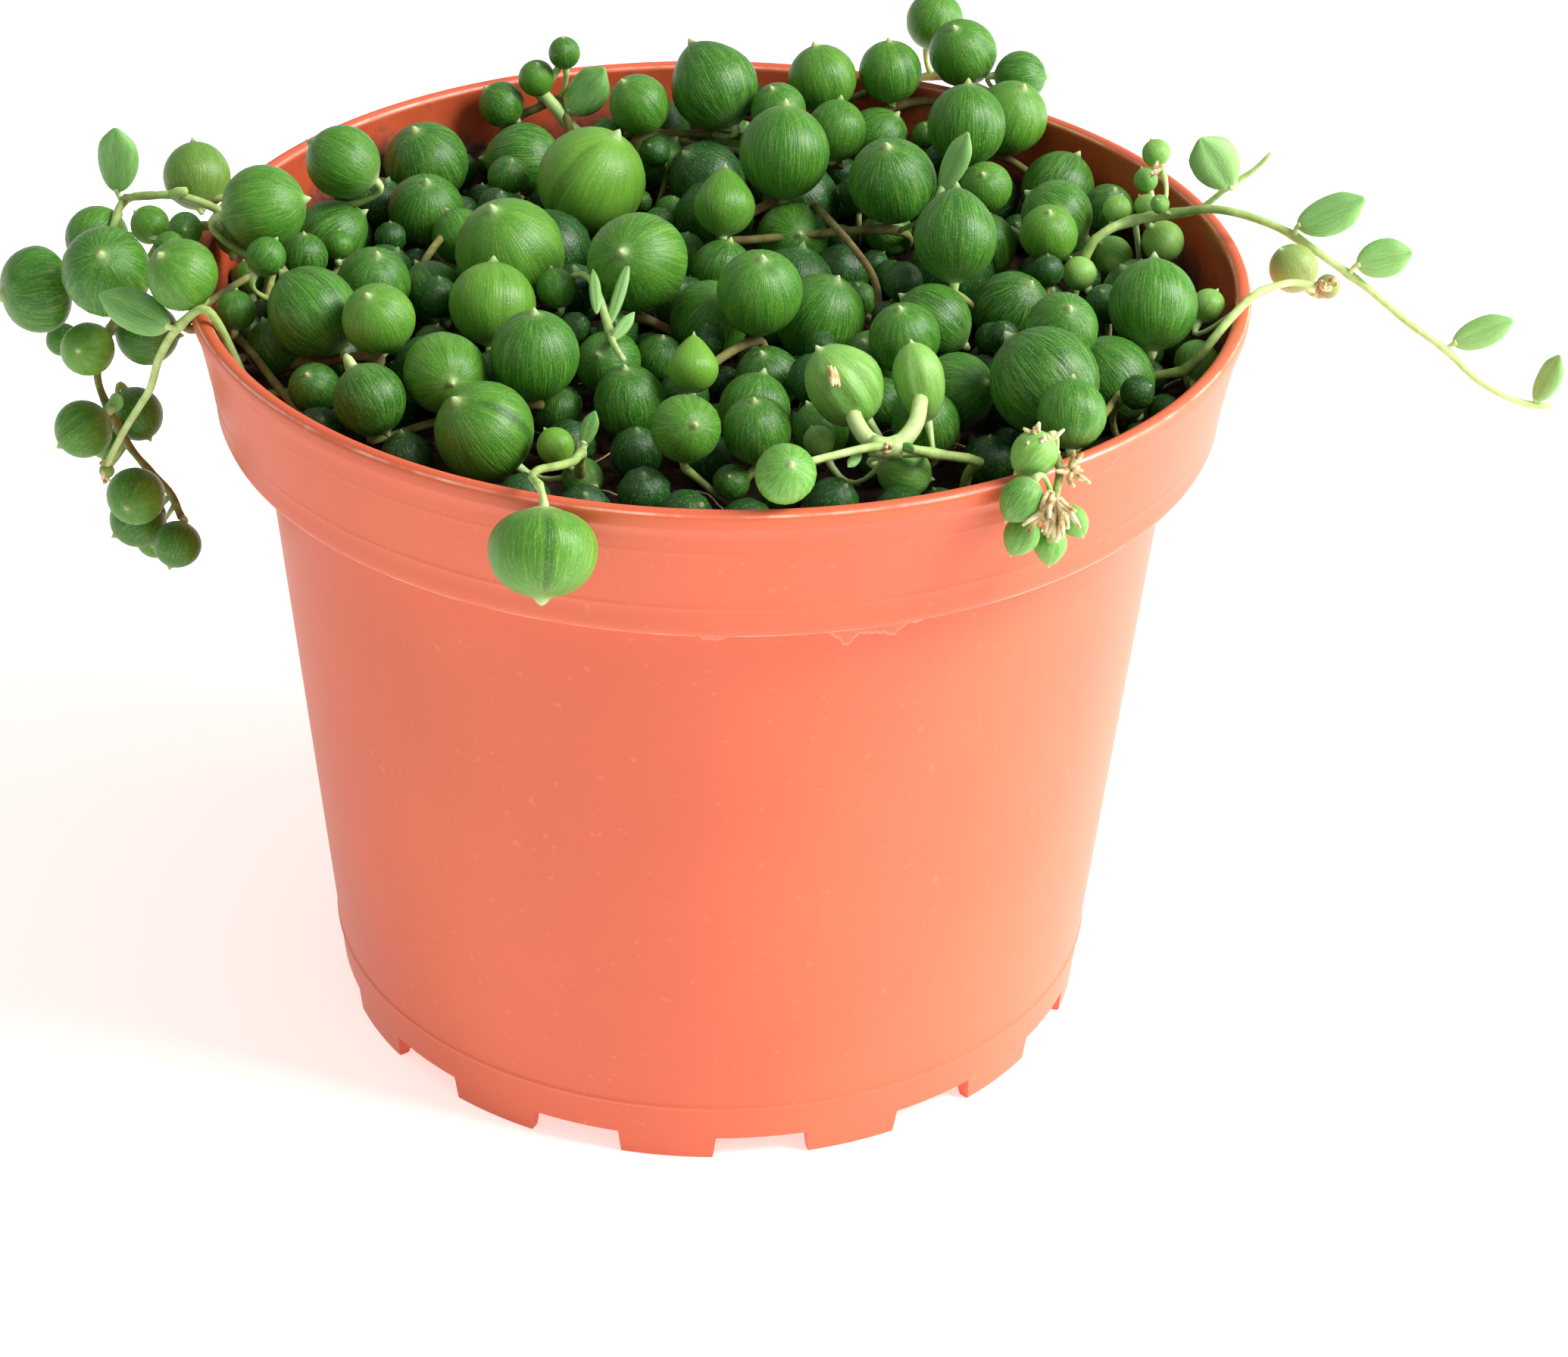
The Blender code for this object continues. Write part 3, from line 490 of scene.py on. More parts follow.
def damp_peat():
    """Damp peat: nearly black brown, very rough, clumped at a few millimetres and finer."""
    made, tree, shader = material("damp_peat_compost")
    place = add(tree, "TexCoord").outputs["Object"]
    clump = add(tree, "TexNoise", {"Vector": place, "Scale": 420.0, "Detail": 6.0, "Roughness": 0.65})
    tone = add(tree, "ValToRGB", {"Fac": clump.outputs["Fac"]},
               [(0.30, PEAT_DARK), (0.58, PEAT_BROWN), (0.78, PEAT_LIGHT)])
    tree.links.new(tone.outputs["Color"], shader.inputs["Base Color"])
    shader.inputs["Roughness"].default_value = 0.92
    shader.inputs["Specular IOR Level"].default_value = 0.25
    bump = add(tree, "Bump", {"Height": clump.outputs["Fac"], "Strength": 0.8, "Distance": 0.001})
    tree.links.new(bump.outputs["Normal"], shader.inputs["Normal"])
    return made


def build_soil(finish):
    """The soil as one closed turned solid under its uneven top."""
    band_low = POT_HEIGHT - BAND_HEIGHT
    low, edge = FLOOR_UNDERSIDE + WALL + GAP, band_radius(SOIL_TOP) - WALL - GAP - BAND_INSET
    wall = [(0, low), (body_radius(low) - WALL - GAP, low),
            (body_radius(band_low) - WALL - GAP, band_low),
            (band_radius(band_low + WALL) - WALL - GAP - BAND_INSET, band_low + WALL + GAP)]
    top = [(r, SOIL_TOP) for r in np.append(np.linspace(edge, MIDDLE_RADIUS, SOIL_RINGS), 0)]
    profile = np.array(wall + top)
    turns = np.linspace(0, 1, SOIL_TURNS + 1)
    vertices = turned(profile, turns[:-1] * 2 * np.pi)
    on_top = vertices[:, 2] > SOIL_TOP - GAP
    vertices[on_top, 2] = soil_height(vertices[on_top, 0], vertices[on_top, 1])
    quads, ends, _ = closed_grid(np.linspace(0, 1, len(profile)), turns)
    soil = add_mesh("peat_soil", vertices, quads.tolist() + ends.tolist(), finish)
    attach(soil, "root")
    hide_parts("soil")


def scattered(count):
    """Seeded places spread evenly over the soil's top, as (x, y)."""
    radius = (BODY_TOP_RADIUS + 2) * np.sqrt(draws.random(count))
    angle = 2 * np.pi * draws.random(count)
    return radius * np.cos(angle), radius * np.sin(angle)


def build_crumbs(finish):
    """Loose crumbs: small closed lumps of 3 rings of 6 points, each pulled out of round."""
    x, y = scattered(CRUMBS)
    size = CRUMB_SIZE[0] + (CRUMB_SIZE[1] - CRUMB_SIZE[0]) * draws.random(CRUMBS) ** 2
    levels, turns = np.linspace(0, 1, 5), np.linspace(0, 1, 7)
    fall, turn = np.pi * levels[1:-1, None], 2 * np.pi * turns[None, :-1]
    ball = np.stack([np.sin(fall) * np.cos(turn), np.sin(fall) * np.sin(turn),
                     -np.cos(fall) + 0 * turn], -1)
    ball = np.concatenate([[(0, 0, -1)], ball.reshape(-1, 3), [(0, 0, 1)]])
    lumps = ball[None] * (0.6 + 0.6 * draws.random((CRUMBS, len(ball), 1)))
    lumps *= size[:, None, None] * (0.55 + 0.5 * draws.random((CRUMBS, 1, 3)))
    lumps += np.stack([x, y, soil_height(x, y) + 0.2 * size], -1)[:, None]
    quads, ends, _ = closed_grid(levels, turns)
    crumbs = add_mesh("soil_crumbs", lumps.reshape(-1, 3),
                      repeated(quads, ends, len(ball), CRUMBS), finish)
    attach(crumbs, "root")


peat = damp_peat()
build_soil(peat)
build_crumbs(peat)


# ---- Growth plan: 24 strands rooted in the soil. Pearls are (x, y, z, diameter), from the
# root on, and where a pearl points some special way three more numbers say which way.
# "stem" and "twig" are routes of stems that show; "leaves" are (base, tip, width).
PEARL_FLOOR, SETTLE_ROUNDS, SETTLE_SHARE, CLEARANCE = 73.0, 300, 0.3, 0.36
STRANDS = {
    "left_rim_strand": {"pearls": [
        (-43, -11, 76, 5.5), (-39, -14, 81, 9, -3, 2, 3), (-32, -19, 83, 7), (-38, -22, 77, 5),
        (-47, -12, 80, 4, 0, 2, 3), (-51, -14, 84, 7), (-45, -1, 86, 8.5, 4, 0, 1),
        (-44, -8, 84, 4, 2, 2, 3)]},
    "left_inner_strand": {"pearls": [
        (-40, 13, 77, 7.5, 3, 1, 2), (-39, 14, 84, 7.5, -4, 1, 2), (-39, 8, 78, 3, 0, 2, 3),
        (-42, 5, 78, 5)]},
    "back_left_strand": {"pearls": [
        (-32, 30, 77, 9, -1, -1, 4), (-31, 19, 77, 8), (-27, 13, 77, 6, -2, 2, 3)]},
    "rear_left_strand": {"pearls": [
        (-22, 33, 77, 8, -4, 0, 0), (-23, 26, 78, 4.5), (-25, 41, 80, 5), (-21, 41, 83, 4),
        (-18, 41, 86, 3.5), (-14, 21, 80, 11.5, 2, 0, 4), (-9, 25, 76, 2.5), (-6, 25, 75, 3.5)],
        "leaves": [((-17.6, 40, 79.5), (-13.7, 41, 84.4), 4.8)]},
    "rear_strand": {"pearls": [
        (1, 40, 76, 6), (-8, 36, 76, 6.5), (-9, 35, 83, 6.5), (-2, 37, 84, 9.5, -2, 2, 3),
        (5, 34, 83, 6), (11, 34, 81, 6.5), (-11, 39, 80, 3.5, 0, 0, 4),
        (-13, 36, 79, 3.5, 3, 1, 2)]},
    "rear_right_strand": {"pearls": [
        (16, 41, 77, 7), (17, 45, 83, 7), (25, 46, 85, 7.5), (31, 44, 83, 5.5, 4, 0, 0),
        (22, 53, 86, 6.5), (10, 43, 83, 7.5), (21, 40, 78, 3)]},
    "centre_back_strand": {"pearls": [
        (7, 15, 77, 7.5), (6, 18, 85, 9.5, 0, 1, 4), (0, 12, 82, 6.5, 0, 2, 3), (17, 14, 84, 9),
        (17, 19, 76, 5), (0, 8, 76, 6.5), (-4, 14, 75, 4.5)],
        "leaves": [((22, 12, 84), (24.4, 12, 90.4), 2.7)]},
    "right_back_strand": {"pearls": [
        (35, 29, 77, 8, 2, 2, 3), (40, 24, 77, 5.5), (30, 36, 82, 8), (25, 29, 84, 8.5, 0, 1, 4),
        (27, 16, 76, 6.5), (27, 22, 80, 5.5), (34, 15, 80, 7.5, -3, 1, 2), (33, 9, 81, 6)]},
    "centre_strand": {"pearls": [
        (-1, -5, 77, 8), (-8, -5, 83, 10), (-10, -3, 75, 4), (-12, -7, 75, 3.5, 3, 2, 3),
        (-15, -4, 74, 3), (-16, -5, 80, 4, -1, 2, 3)]},
    "left_centre_strand": {"pearls": [
        (-29, 1, 76, 6.5, -2, 2, 3), (-21, 1, 81, 11), (-22, -9, 80, 8.5, 0, 2, 3),
        (-28, -8, 75, 4), (-34, -3, 79, 7.5)]},
    "front_left_strand": {"pearls": [
        (-15, -22, 75, 4.5), (-17, -23, 81, 8.5, 0, 0, 4), (-25, -24, 80, 8, 1, -4, 1),
        (-32, -28, 79, 7, 2, -2, -3)]},
    "front_inner_strand": {"pearls": [
        (-8, -23, 77, 7), (-10, -15, 77, 6.5), (-6, -12, 76, 5)]},
    "front_centre_strand": {"pearls": [
        (4, -24, 77, 7), (5, -16, 76, 6.5), (4, -11, 83, 8.5), (-2, -23, 81, 5, 0, 2, 3),
        (10, -26, 76, 5.5), (4, -34, 80, 6.5), (2, -35, 75, 3.5), (-2, -36, 81, 6.5, 1, -3, 2)]},
    "front_right_strand": {"pearls": [
        (23, -21, 78, 7.5, 3, -2, 2), (20, -28, 78, 6.5), (18, -16, 81, 7), (16, -20, 76, 5)]},
    "centre_right_strand": {"pearls": [
        (15, -11, 76, 6), (10, -5, 77, 9), (14, 5, 75, 3.5), (21, -8, 79, 7.5, -3, 1, 2),
        (23, -3, 86, 8.5, 0, 2, 3), (29, -1, 77, 8)]},
    "right_front_strand": {"pearls": [
        (38, -16, 77, 8.5), (33, -18, 83, 7), (31, -26, 82, 10.5, -3, 2, 3),
        (33, -35, 83, 6.5, 0, 2, 3), (42, -10, 82, 9, 0, 2, 3)]},
    "right_rim_stalk": {
        "pearls": [(47, -8, 75, 4.5), (49, -3, 79, 3.5, 2, 2, 3), (57, 2, 81, 5),
                   (60, -2, 81, 2.5)],
        "stem": [(46, -13, 77), (47.5, -13.5, 80), (50, -11, 82.1), (52.5, -7, 82.4),
                 (56, -3.5, 82), (59, -2, 81)]},
    "flying_right_vine": {
        "pearls": [(45, 14, 78, 4.5), (40, 16, 75, 4.5), (36, 6, 78, 3.5, -2, 2, 3),
                   (40, 13, 82, 3, 1, 2, 3), (43, 14, 82, 2.5), (43, 16, 84, 2.5),
                   (44, 18, 86, 3), (44, 10, 84, 2)],
        "stem": [(38, 9, 81), (41, 11, 81.5), (45, 12, 82), (50, 9, 84), (56, 7, 83),
                 (61, 5, 80.5), (65, 4, 78), (69, 3, 75), (73, 2, 72.5), (76, 1, 70),
                 (79, 0, 68.5), (82, 0, 67.5), (84, 0, 67.5)],
        "twig": [(45, 12, 82), (48, 12, 82.5), (51, 12, 85.2), (53.5, 12, 87.2), (55, 12, 89)],
        "leaves": [((51, 10, 86), (47.5, 10, 91.3), 5.0), ((57.5, 6, 83.7), (64, 6, 87), 4.3),
                   ((63.5, 4, 80.6), (69, 4, 82.2), 4.0), ((73.7, 2, 73.1), (79.5, 2, 76), 3.2),
                   ((82.4, 0, 67.9), (84.3, 0, 73.2), 2.8)]},
    "front_hanging_strand": {
        "pearls": [(-12, -35, 75, 4), (-21, -32, 78, 9.5, -2, -1, 3), (-14, -35, 78, 3.5),
                   (-14, -56, 79, 9.5, 0, -2, -3)],
        "stem": [(-12, -37, 77), (-11.6, -39.5, 80), (-12.2, -42.5, 80.7), (-13.6, -45, 81.5),
                 (-14.9, -47, 82.2), (-15.3, -50, 83.1), (-14.6, -52.2, 83.5)],
        "leaves": [((-11.5, -39, 80.5), (-10.4, -38, 83.6), 1.6)]},
    "front_shoot": {
        "pearls": [(18, -34, 76, 5, 4, 0, -1), (10, -30, 77, 3), (12, -32, 84, 7.5, -2, 0, 3),
                   (19, -30, 84, 5, -1, 1, 4), (7, -50, 84, 5.5)],
        "stem": [(25, -34, 77.5), (21, -36, 79), (16, -39, 81.3), (11, -43, 82.2), (7, -48, 83.5)]},
    "bud_cluster": {
        "pearls": [(29, -44, 83, 4.4, -2, -1, -2), (28, -47, 80, 4, -2, -1, -3),
                   (28, -46, 77, 3.4, -2, -1, -4), (31, -45, 75, 3.2, 0, -1, -4),
                   (33, -43, 76, 2.8, 2, -1, -3)],
        "stem": [(29, -37, 73.5), (29.5, -39, 78), (30.5, -41.5, 82.4), (31.5, -44.5, 82.4),
                 (31, -46.5, 79.5), (31, -46.5, 76)]},
    "left_trailing_strand": {
        "pearls": [(-48, 6, 75, 3.5, -1, 2, 3), (-49, 3, 81, 4.5), (-53, 0, 83, 3.5),
                   (-57, 3, 82, 4), (-58, 3, 70, 6.5), (-63, -3, 71, 5.5), (-67, 5, 68, 3.5),
                   (-64, -3, 62, 6, -3, -1, -2), (-60, 4, 60, 5.5, 2, -2, -3),
                   (-63, 4, 57, 3.5), (-59, -4, 55, 6), (-60, 2, 49, 6, -3, -1, -2),
                   (-59, 5, 45, 4), (-55, -3, 49, 5, -1, -2, -3)],
        "stem": [(-51, 2, 82.8), (-55.5, 2, 81), (-59, 1, 75), (-62, 1, 70), (-63, 1, 66),
                 (-62, 1, 62), (-60.5, 1, 58.5), (-58.5, 1, 55.5), (-56.5, 1, 53), (-55, -1, 51)],
        "leaves": [((-61.5, -1, 63), (-60.2, -3, 66), 1.6)]},
    "left_upper_strand": {
        "pearls": [(-53, 10, 84, 7), (-54, -4, 83, 3), (-60, -6, 81, 9), (-63, 6, 79, 6.5),
                   (-68, 0, 76, 8.5, -4, -2, 0)],
        "stem": [(-47, 9, 81), (-50, 8, 82.8), (-55, 8, 83), (-60, 8, 82.5), (-61, 3, 81)],
        "leaves": [((-61, 8, 83.2), (-60.7, 8, 90.2), 4.3)]},
    "left_flower_stalk": {
        "pearls": [(-61, -8, 60, 1.6)],
        "stem": [(-45, -17, 73.5), (-46, -17, 77), (-48.5, -17, 82.4), (-51.5, -15.5, 80),
                 (-54, -13, 75.5), (-55.5, -11, 71), (-57, -9, 68), (-59, -8, 64.5),
                 (-61, -8, 60.5)],
        "leaves": [((-52.4, -16, 80), (-59.5, -13, 82), 4.1)]},
}

# Pearls out of the common run, by strand and number: how far each tapers to its tip like a
# drop, how much longer than round it is, and how deep its ribs are. A longer pearl reaches
# further on its stalk's side than on its tip's.
STALK_SIDE, TIP_SIDE = 1.5, 0.5
SHAPES = {("centre_back_strand", 2): (0.8, 0.0, 0.0), ("front_centre_strand", 3): (1.0, 0.0, 0.0),
          ("front_shoot", 2): (0.35, 0.08, 0.10), ("front_shoot", 3): (0.2, 0.50, 0.05),
          ("front_shoot", 4): (0.0, -0.04, 0.0), ("front_hanging_strand", 3): (0.0, -0.17, 0.0),
          ("front_hanging_strand", 1): (0.0, -0.05, 0.0),
          ("centre_right_strand", 4): (0.45, 0.06, 0.0),
          ("rear_strand", 3): (0.45, 0.0, 0.0), ("left_inner_strand", 0): (0.4, 0.0, 0.0),
          ("rear_left_strand", 0): (0.35, 0.0, 0.0), ("bud_cluster", 0): (0.3, 0.0, 0.02),
          ("bud_cluster", 1): (0.4, 0.08, 0.02), ("bud_cluster", 2): (0.5, 0.10, 0.02),
          ("bud_cluster", 3): (0.7, 0.15, 0.03), ("bud_cluster", 4): (0.5, 0.15, 0.02),
          ("left_upper_strand", 4): (0.0, -0.20, 0.0)}


def settle(centres, radii):
    """Pearls that meet are pushed apart until a small clearance is left between them, the
    rim's bead and the soil; each round moves them a share of what is short."""
    rim_core, rim_z = RIM_RADIUS - LIP_RADIUS, POT_HEIGHT - LIP_RADIUS
    for _ in range(SETTLE_ROUNDS):
        apart = centres[:, None] - centres[None]
        distance = np.linalg.norm(apart, axis=2) + 1e3 * np.eye(len(centres))
        short = np.clip(radii[:, None] + radii[None] + CLEARANCE - distance, 0, None)
        pushed = (apart / distance[..., None] * short[..., None]).sum(axis=1)
        centres = centres + SETTLE_SHARE * pushed
        flat = np.hypot(centres[:, 0], centres[:, 1])
        outward = centres[:, :2] / flat[:, None]
        from_rim = np.stack([flat - rim_core, centres[:, 2] - rim_z], axis=1)
        away = np.linalg.norm(from_rim, axis=1)
        push = np.clip(radii + LIP_RADIUS + CLEARANCE - away, 0, None) * (centres[:, 2] > rim_z)
        centres[:, :2] += outward * (from_rim[:, 0] / away * push)[:, None]
        centres[:, 2] += from_rim[:, 1] / away * push
        low = centres[:, 2] <= rim_z
        inside, outside = low & (flat < rim_core), low & (flat >= rim_core)
        too_far = np.clip(flat - BAND_LOW_RADIUS + radii, 0, None)
        centres[inside, :2] -= outward[inside] * too_far[inside, None]
        too_near = np.clip(RIM_RADIUS + radii + CLEARANCE - flat, 0, None)
        centres[outside, :2] += outward[outside] * too_near[outside, None]
        on_soil = flat < rim_core
        centres[on_soil, 2] = np.maximum(centres[on_soil, 2], PEARL_FLOOR + radii[on_soil])
    return centres


rows = [pearl for plan in STRANDS.values() for pearl in plan["pearls"]]
radii = np.array([pearl[3] for pearl in rows]) / 2
centres = settle(np.array([pearl[:3] for pearl in rows], float), radii)
counts = [len(plan["pearls"]) for plan in STRANDS.values()]
first_of = dict(zip(STRANDS, np.cumsum([0] + counts)))


# ---- Stems: soft green runners, about a millimetre thick, that turn olive and then brown
# and corky with age. They swell a little at each node, where a pearl's short stalk leaves.
STEM_RADIUS, STEM_TIP_RADIUS, STEM_TURNS = 0.52, 0.34, 10
ROUTE_STEP = 0.8
NODE_SWELL, NODE_LENGTH = 0.28, 0.9
STALK_RADIUS, STALK_STEPS, STALK_BEND, STALK_AGE = 0.40, 9, 0.55, 0.8
STEM_SPACE, RUNNER_TOP, RUNNER_FOOT = 0.9, 79.5, (0.6, 0.3, 2.2)
ROOT_REACH, ROOT_RADIUS, KNEE_OUT, KNEE_DROP = 2.5, 44, 0.75, 0.45
UPWARD, TIP_LEAN = (0, -0.35, 0.75), 0.45
TWIG_SHARE, SHOOT_SHARE, LEAF_STALK_LAP = 0.75, 0.62, 0.4
RUNNER_AGE = (0.9, 0.55)
YOUNG_STEM, RIPE_STEM, OLIVE_STEM, BROWN_STEM = "C3DB93", "9DBB66", "7C7F42", "6A4A2E"
# How old the bark is at a stem's root and at its end, where it isn't a common runner's.
STEM_AGE = {"right_rim_stalk": (0.45, 0.15), "flying_right_vine": (0.35, 0.0),
            "front_hanging_strand": (0.55, 0.30), "front_shoot": (0.45, 0.10),
            "bud_cluster": (0.7, 0.45), "left_trailing_strand": (0.45, 0.62),
            "left_upper_strand": (0.45, 0.35), "left_flower_stalk": (0.3, 0.1)}
# Stems and shoots that show in the gaps: strand, width at root and tip, age, route.
SHOOTS = [
    ("left_centre_strand", 0.75, 0.6, 0.65,
     [(-27, 17, 77.2), (-28, 14, 77.6), (-30, 6, 77.4), (-31, 2, 74.5)]),
    ("centre_back_strand", 0.7, 0.6, 0.85,
     [(9, 18, 79), (10, 14, 80.3), (15, 4, 78.4), (16, 0, 75)]),
    ("rear_left_strand", 1.35, 1.0, 0.1,
     [(-14.5, 38, 75), (-17.7, 40, 78.5), (-21.3, 41, 82.4)]),
    ("rear_left_strand", 0.8, 0.6, 0.05,
     [(-20.4, 40.8, 81.4), (-19.4, 41, 83), (-18.3, 41, 84.8)]),
    ("centre_strand", 0.9, 0.45, 0.15,
     [(-9.5, -17, 76.5), (-10.2, -15, 80), (-12, -9, 82.2), (-13.6, -5, 81.6),
      (-15.4, -4.2, 80.4)]),
    ("centre_strand", 0.6, 0.5, 0.1,
     [(-10.2, -15, 80), (-9.6, -19, 80.8), (-8.6, -23, 81.4)]),
    ("front_shoot", 1.6, 1.7, 0.12,
     [(17.4, -38.4, 80.9), (16.0, -38.6, 80.9), (14.8, -38.9, 81.2)]),
    ("front_shoot", 1.35, 1.25, 0.0,
     [(15.8, -38, 80.7), (14.4, -37.2, 81), (13.3, -35.6, 81.9), (12.8, -33.6, 82.6)]),
    ("front_shoot", 1.35, 1.2, 0.0,
     [(15.8, -38, 80.7), (17.5, -37.4, 81), (18.8, -35.6, 82), (19.2, -32.4, 82.7)]),
    ("left_upper_strand", 0.6, 0.75, 0.35,
     [(-60.2, 7.6, 82.8), (-57.5, 5.9, 83.8), (-54.5, 5.4, 84.2), (-50.6, 5.5, 82.7),
      (-48.6, 4.6, 80.8)]),
    ("left_upper_strand", 1.0, 0.7, 0.15,
     [(-54.9, 5.4, 84.2), (-54.3, 5.1, 84.7), (-53.5, 4.9, 84.9)]),
    ("front_hanging_strand", 0.75, 0.7, 0.05,
     [(-11.6, -39, 79.6), (-11.6, -38, 79.9), (-10.8, -37.2, 81.4)]),
]


def smooth_route(points, step=ROUTE_STEP):
    """A Catmull-Rom curve through points, with a point about every step."""
    points = np.array(points, float)
    padded = np.vstack([2 * points[0] - points[1], points, 2 * points[-1] - points[-2]])
    route = []
    for a, b, c, d in zip(padded, padded[1:], padded[2:], padded[3:]):
        t = np.linspace(0, 1, max(1, round(np.linalg.norm(c - b) / step)), endpoint=False)[:, None]
        route.append(0.5 * (2 * b + (c - a) * t + (2 * a - 5 * b + 4 * c - d) * t ** 2
                            + (3 * b - a - 3 * c + d) * t ** 3))
    return np.vstack(route + [points[-1:]])


def tube(route, radius, turns=STEM_TURNS):
    """A round tube: circles square to the route, radius(s) wide, with a pole half a radius
    past each end. Their sides lie square to the way the route turns least."""
    ahead = np.gradient(route, axis=0)
    ahead /= np.linalg.norm(ahead, axis=1)[:, None]
    steady = np.linalg.svd(ahead)[2][-1]
    side = np.cross(ahead, steady)
    side /= np.linalg.norm(side, axis=1)[:, None]
    other = np.cross(ahead, side)
    turn = np.linspace(0, 2 * np.pi, turns, endpoint=False)[None, :, None]
    radius = np.broadcast_to(radius, len(route))[:, None, None]
    rings = route[:, None] + radius * (np.cos(turn) * side[:, None] + np.sin(turn) * other[:, None])
    first = route[0] - 0.5 * radius[0, 0] * ahead[0]
    last = route[-1] + 0.5 * radius[-1, 0] * ahead[-1]
    return np.vstack([first, rings.reshape(-1, 3), last])


def joined(parts):
    """Many closed grids of one or several sizes as one: vertices, faces, UVs and attributes.
    A part is (vertices, levels, turns, attributes)."""
    vertices, quads, ends, quad_uvs, end_uvs, start = [], [], [], [], [], 0
    attributes = {}
    for points, levels, turns, named in parts:
        some_quads, some_ends, uv = closed_grid(levels, turns)
        vertices.append(points)
        quads.append(some_quads + start)
        ends.append(some_ends + start)
        quad_uvs.append(uv[:some_quads.size])
        end_uvs.append(uv[some_quads.size:])
        for key, value in named.items():
            shape = (len(points),) + np.shape(value)[1:]
            attributes.setdefault(key, []).append(np.broadcast_to(value, shape))
        start += len(points)
    faces = np.concatenate(quads).tolist() + np.concatenate(ends).tolist()
    uvs = np.concatenate(quad_uvs + end_uvs)
    attributes = {key: np.concatenate(values) for key, values in attributes.items()}
    return np.concatenate(vertices), faces, uvs, attributes


def held_inside(points):
    """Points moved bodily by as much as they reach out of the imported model's box."""
    low, high = np.array(cad_bounds) / MM - AXIS
    short, past = low - points.min(axis=0), points.max(axis=0) - high
    return points + np.clip(short, 0, None) - np.clip(past, 0, None)


def add_growth(name, parts, finish, strand):
    """A piece of the plant from joined parts. It rides on the pot and stands for its strand."""
    parts = [(held_inside(points), *rest) for points, *rest in parts]
    vertices, faces, uvs, attributes = joined(parts)
    made = add_mesh(name, vertices, faces, finish)
    made.data.uv_layers.new(name="skin").data.foreach_set("uv", uvs.ravel())
    for key, value in attributes.items():
        vector = value.ndim > 1
        layer = made.data.attributes.new(key, "FLOAT_VECTOR" if vector else "FLOAT", "POINT")
        layer.data.foreach_set("vector" if vector else "value", value.ravel())
    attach(made, "root")
    if strand:
        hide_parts(strand)
    return made


def runner_stem():
    """A trailing succulent stem: smooth and pale when young, dull olive, then brown and
    finely cracked along its length. The attribute age runs from 0, young, to 1, corky."""
    made, tree, shader = material("runner_stem_bark")
    place = add(tree, "TexCoord").outputs["Object"]
    age = add(tree, "Attribute", attribute_name="age")
    blotch = add(tree, "TexNoise", {"Vector": place, "Scale": 700.0, "Detail": 4.0, "Roughness": 0.6})
    shift = add(tree, "MapRange", {"Value": blotch.outputs["Fac"], "From Min": 0.3, "From Max": 0.7,
                                   "To Min": -0.16, "To Max": 0.16})
    aged = add(tree, "Math", {0: age.outputs["Fac"], 1: shift.outputs["Result"]}, operation="ADD")
    tone = add(tree, "ValToRGB", {"Fac": aged.outputs["Value"]},
               [(0.0, YOUNG_STEM), (0.3, RIPE_STEM), (0.62, OLIVE_STEM), (1.0, BROWN_STEM)])
    tree.links.new(tone.outputs["Color"], shader.inputs["Base Color"])
    rough = add(tree, "MapRange", {"Value": aged.outputs["Value"], "To Min": 0.42, "To Max": 0.85})
    tree.links.new(rough.outputs["Result"], shader.inputs["Roughness"])
    shader.inputs["IOR"].default_value = 1.45
    shader.inputs["Subsurface Weight"].default_value = 0.15
    shader.inputs["Subsurface Scale"].default_value = 0.0006
    bump = add(tree, "Bump", {"Height": blotch.outputs["Fac"], "Strength": 0.35, "Distance": 0.0003})
    tree.links.new(bump.outputs["Normal"], shader.inputs["Normal"])
    return made


def tip_of(index, growth):
    """Which way a pearl points: as planned, or away from where it grows and up to the light,
    with a seeded lean."""
    planned = rows[index][4:]
    if planned:
        lean = np.array(planned, float)
    else:
        away = centres[index] - growth
        lean = away / (np.linalg.norm(away) + 1e-6) + UPWARD
        lean = lean + TIP_LEAN * draws.standard_normal(3)
    return lean / np.linalg.norm(lean)


def runner(first, last):
    """The route of a strand's runner where none is planned: from the soil up under each
    pearl in turn, at least a stem's width over the soil."""
    sizes = radii[first:last]
    under = centres[first:last] - np.stack([0 * sizes, 0 * sizes, sizes + STEM_SPACE], -1)
    under[:, 2] = np.clip(under[:, 2], SOIL_TOP + STEM_SPACE, RUNNER_TOP)
    return smooth_route(np.vstack([under[0] - RUNNER_FOOT, under]))


def rooted(route):
    """A planned route with its start led down into the soil, a little nearer the middle."""
    start, flat = route[0], np.hypot(*route[0][:2])
    inward = np.array([-start[0] / flat, -start[1] / flat, 0])
    reach = ROOT_REACH + max(0, flat - ROOT_RADIUS)
    foot = start + inward * reach
    foot[2] = SOIL_TOP - 1
    knee = start + inward * KNEE_OUT * reach - (0, 0, KNEE_DROP * (start[2] - SOIL_TOP))
    return np.vstack([smooth_route([foot, knee, start, route[2]])[:-3], route[2:]])


def stalk(growth, base, tip):
    """A pearl's short stalk: a curve that leaves the stem towards the pearl's base and
    meets it along the pearl's own axis: (1-t)^2 growth + 2t(1-t) bend + t^2 base."""
    bend = base - tip * STALK_BEND * np.linalg.norm(base - growth)
    t = np.linspace(0, 1, STALK_STEPS)[:, None]
    return (1 - t) ** 2 * growth + 2 * t * (1 - t) * bend + t ** 2 * base


def stalk_radius(size, share):
    """A stalk is thicker under a big pearl. It is waisted: 1.1 of its width at its foot, half
    a sine's arch less in the middle, and 1.35 of it at its end."""
    return (STALK_RADIUS * (0.62 + 0.38 * size / 4)
            * (1.1 - 0.5 * np.sin(np.pi * share) + 0.25 * share))


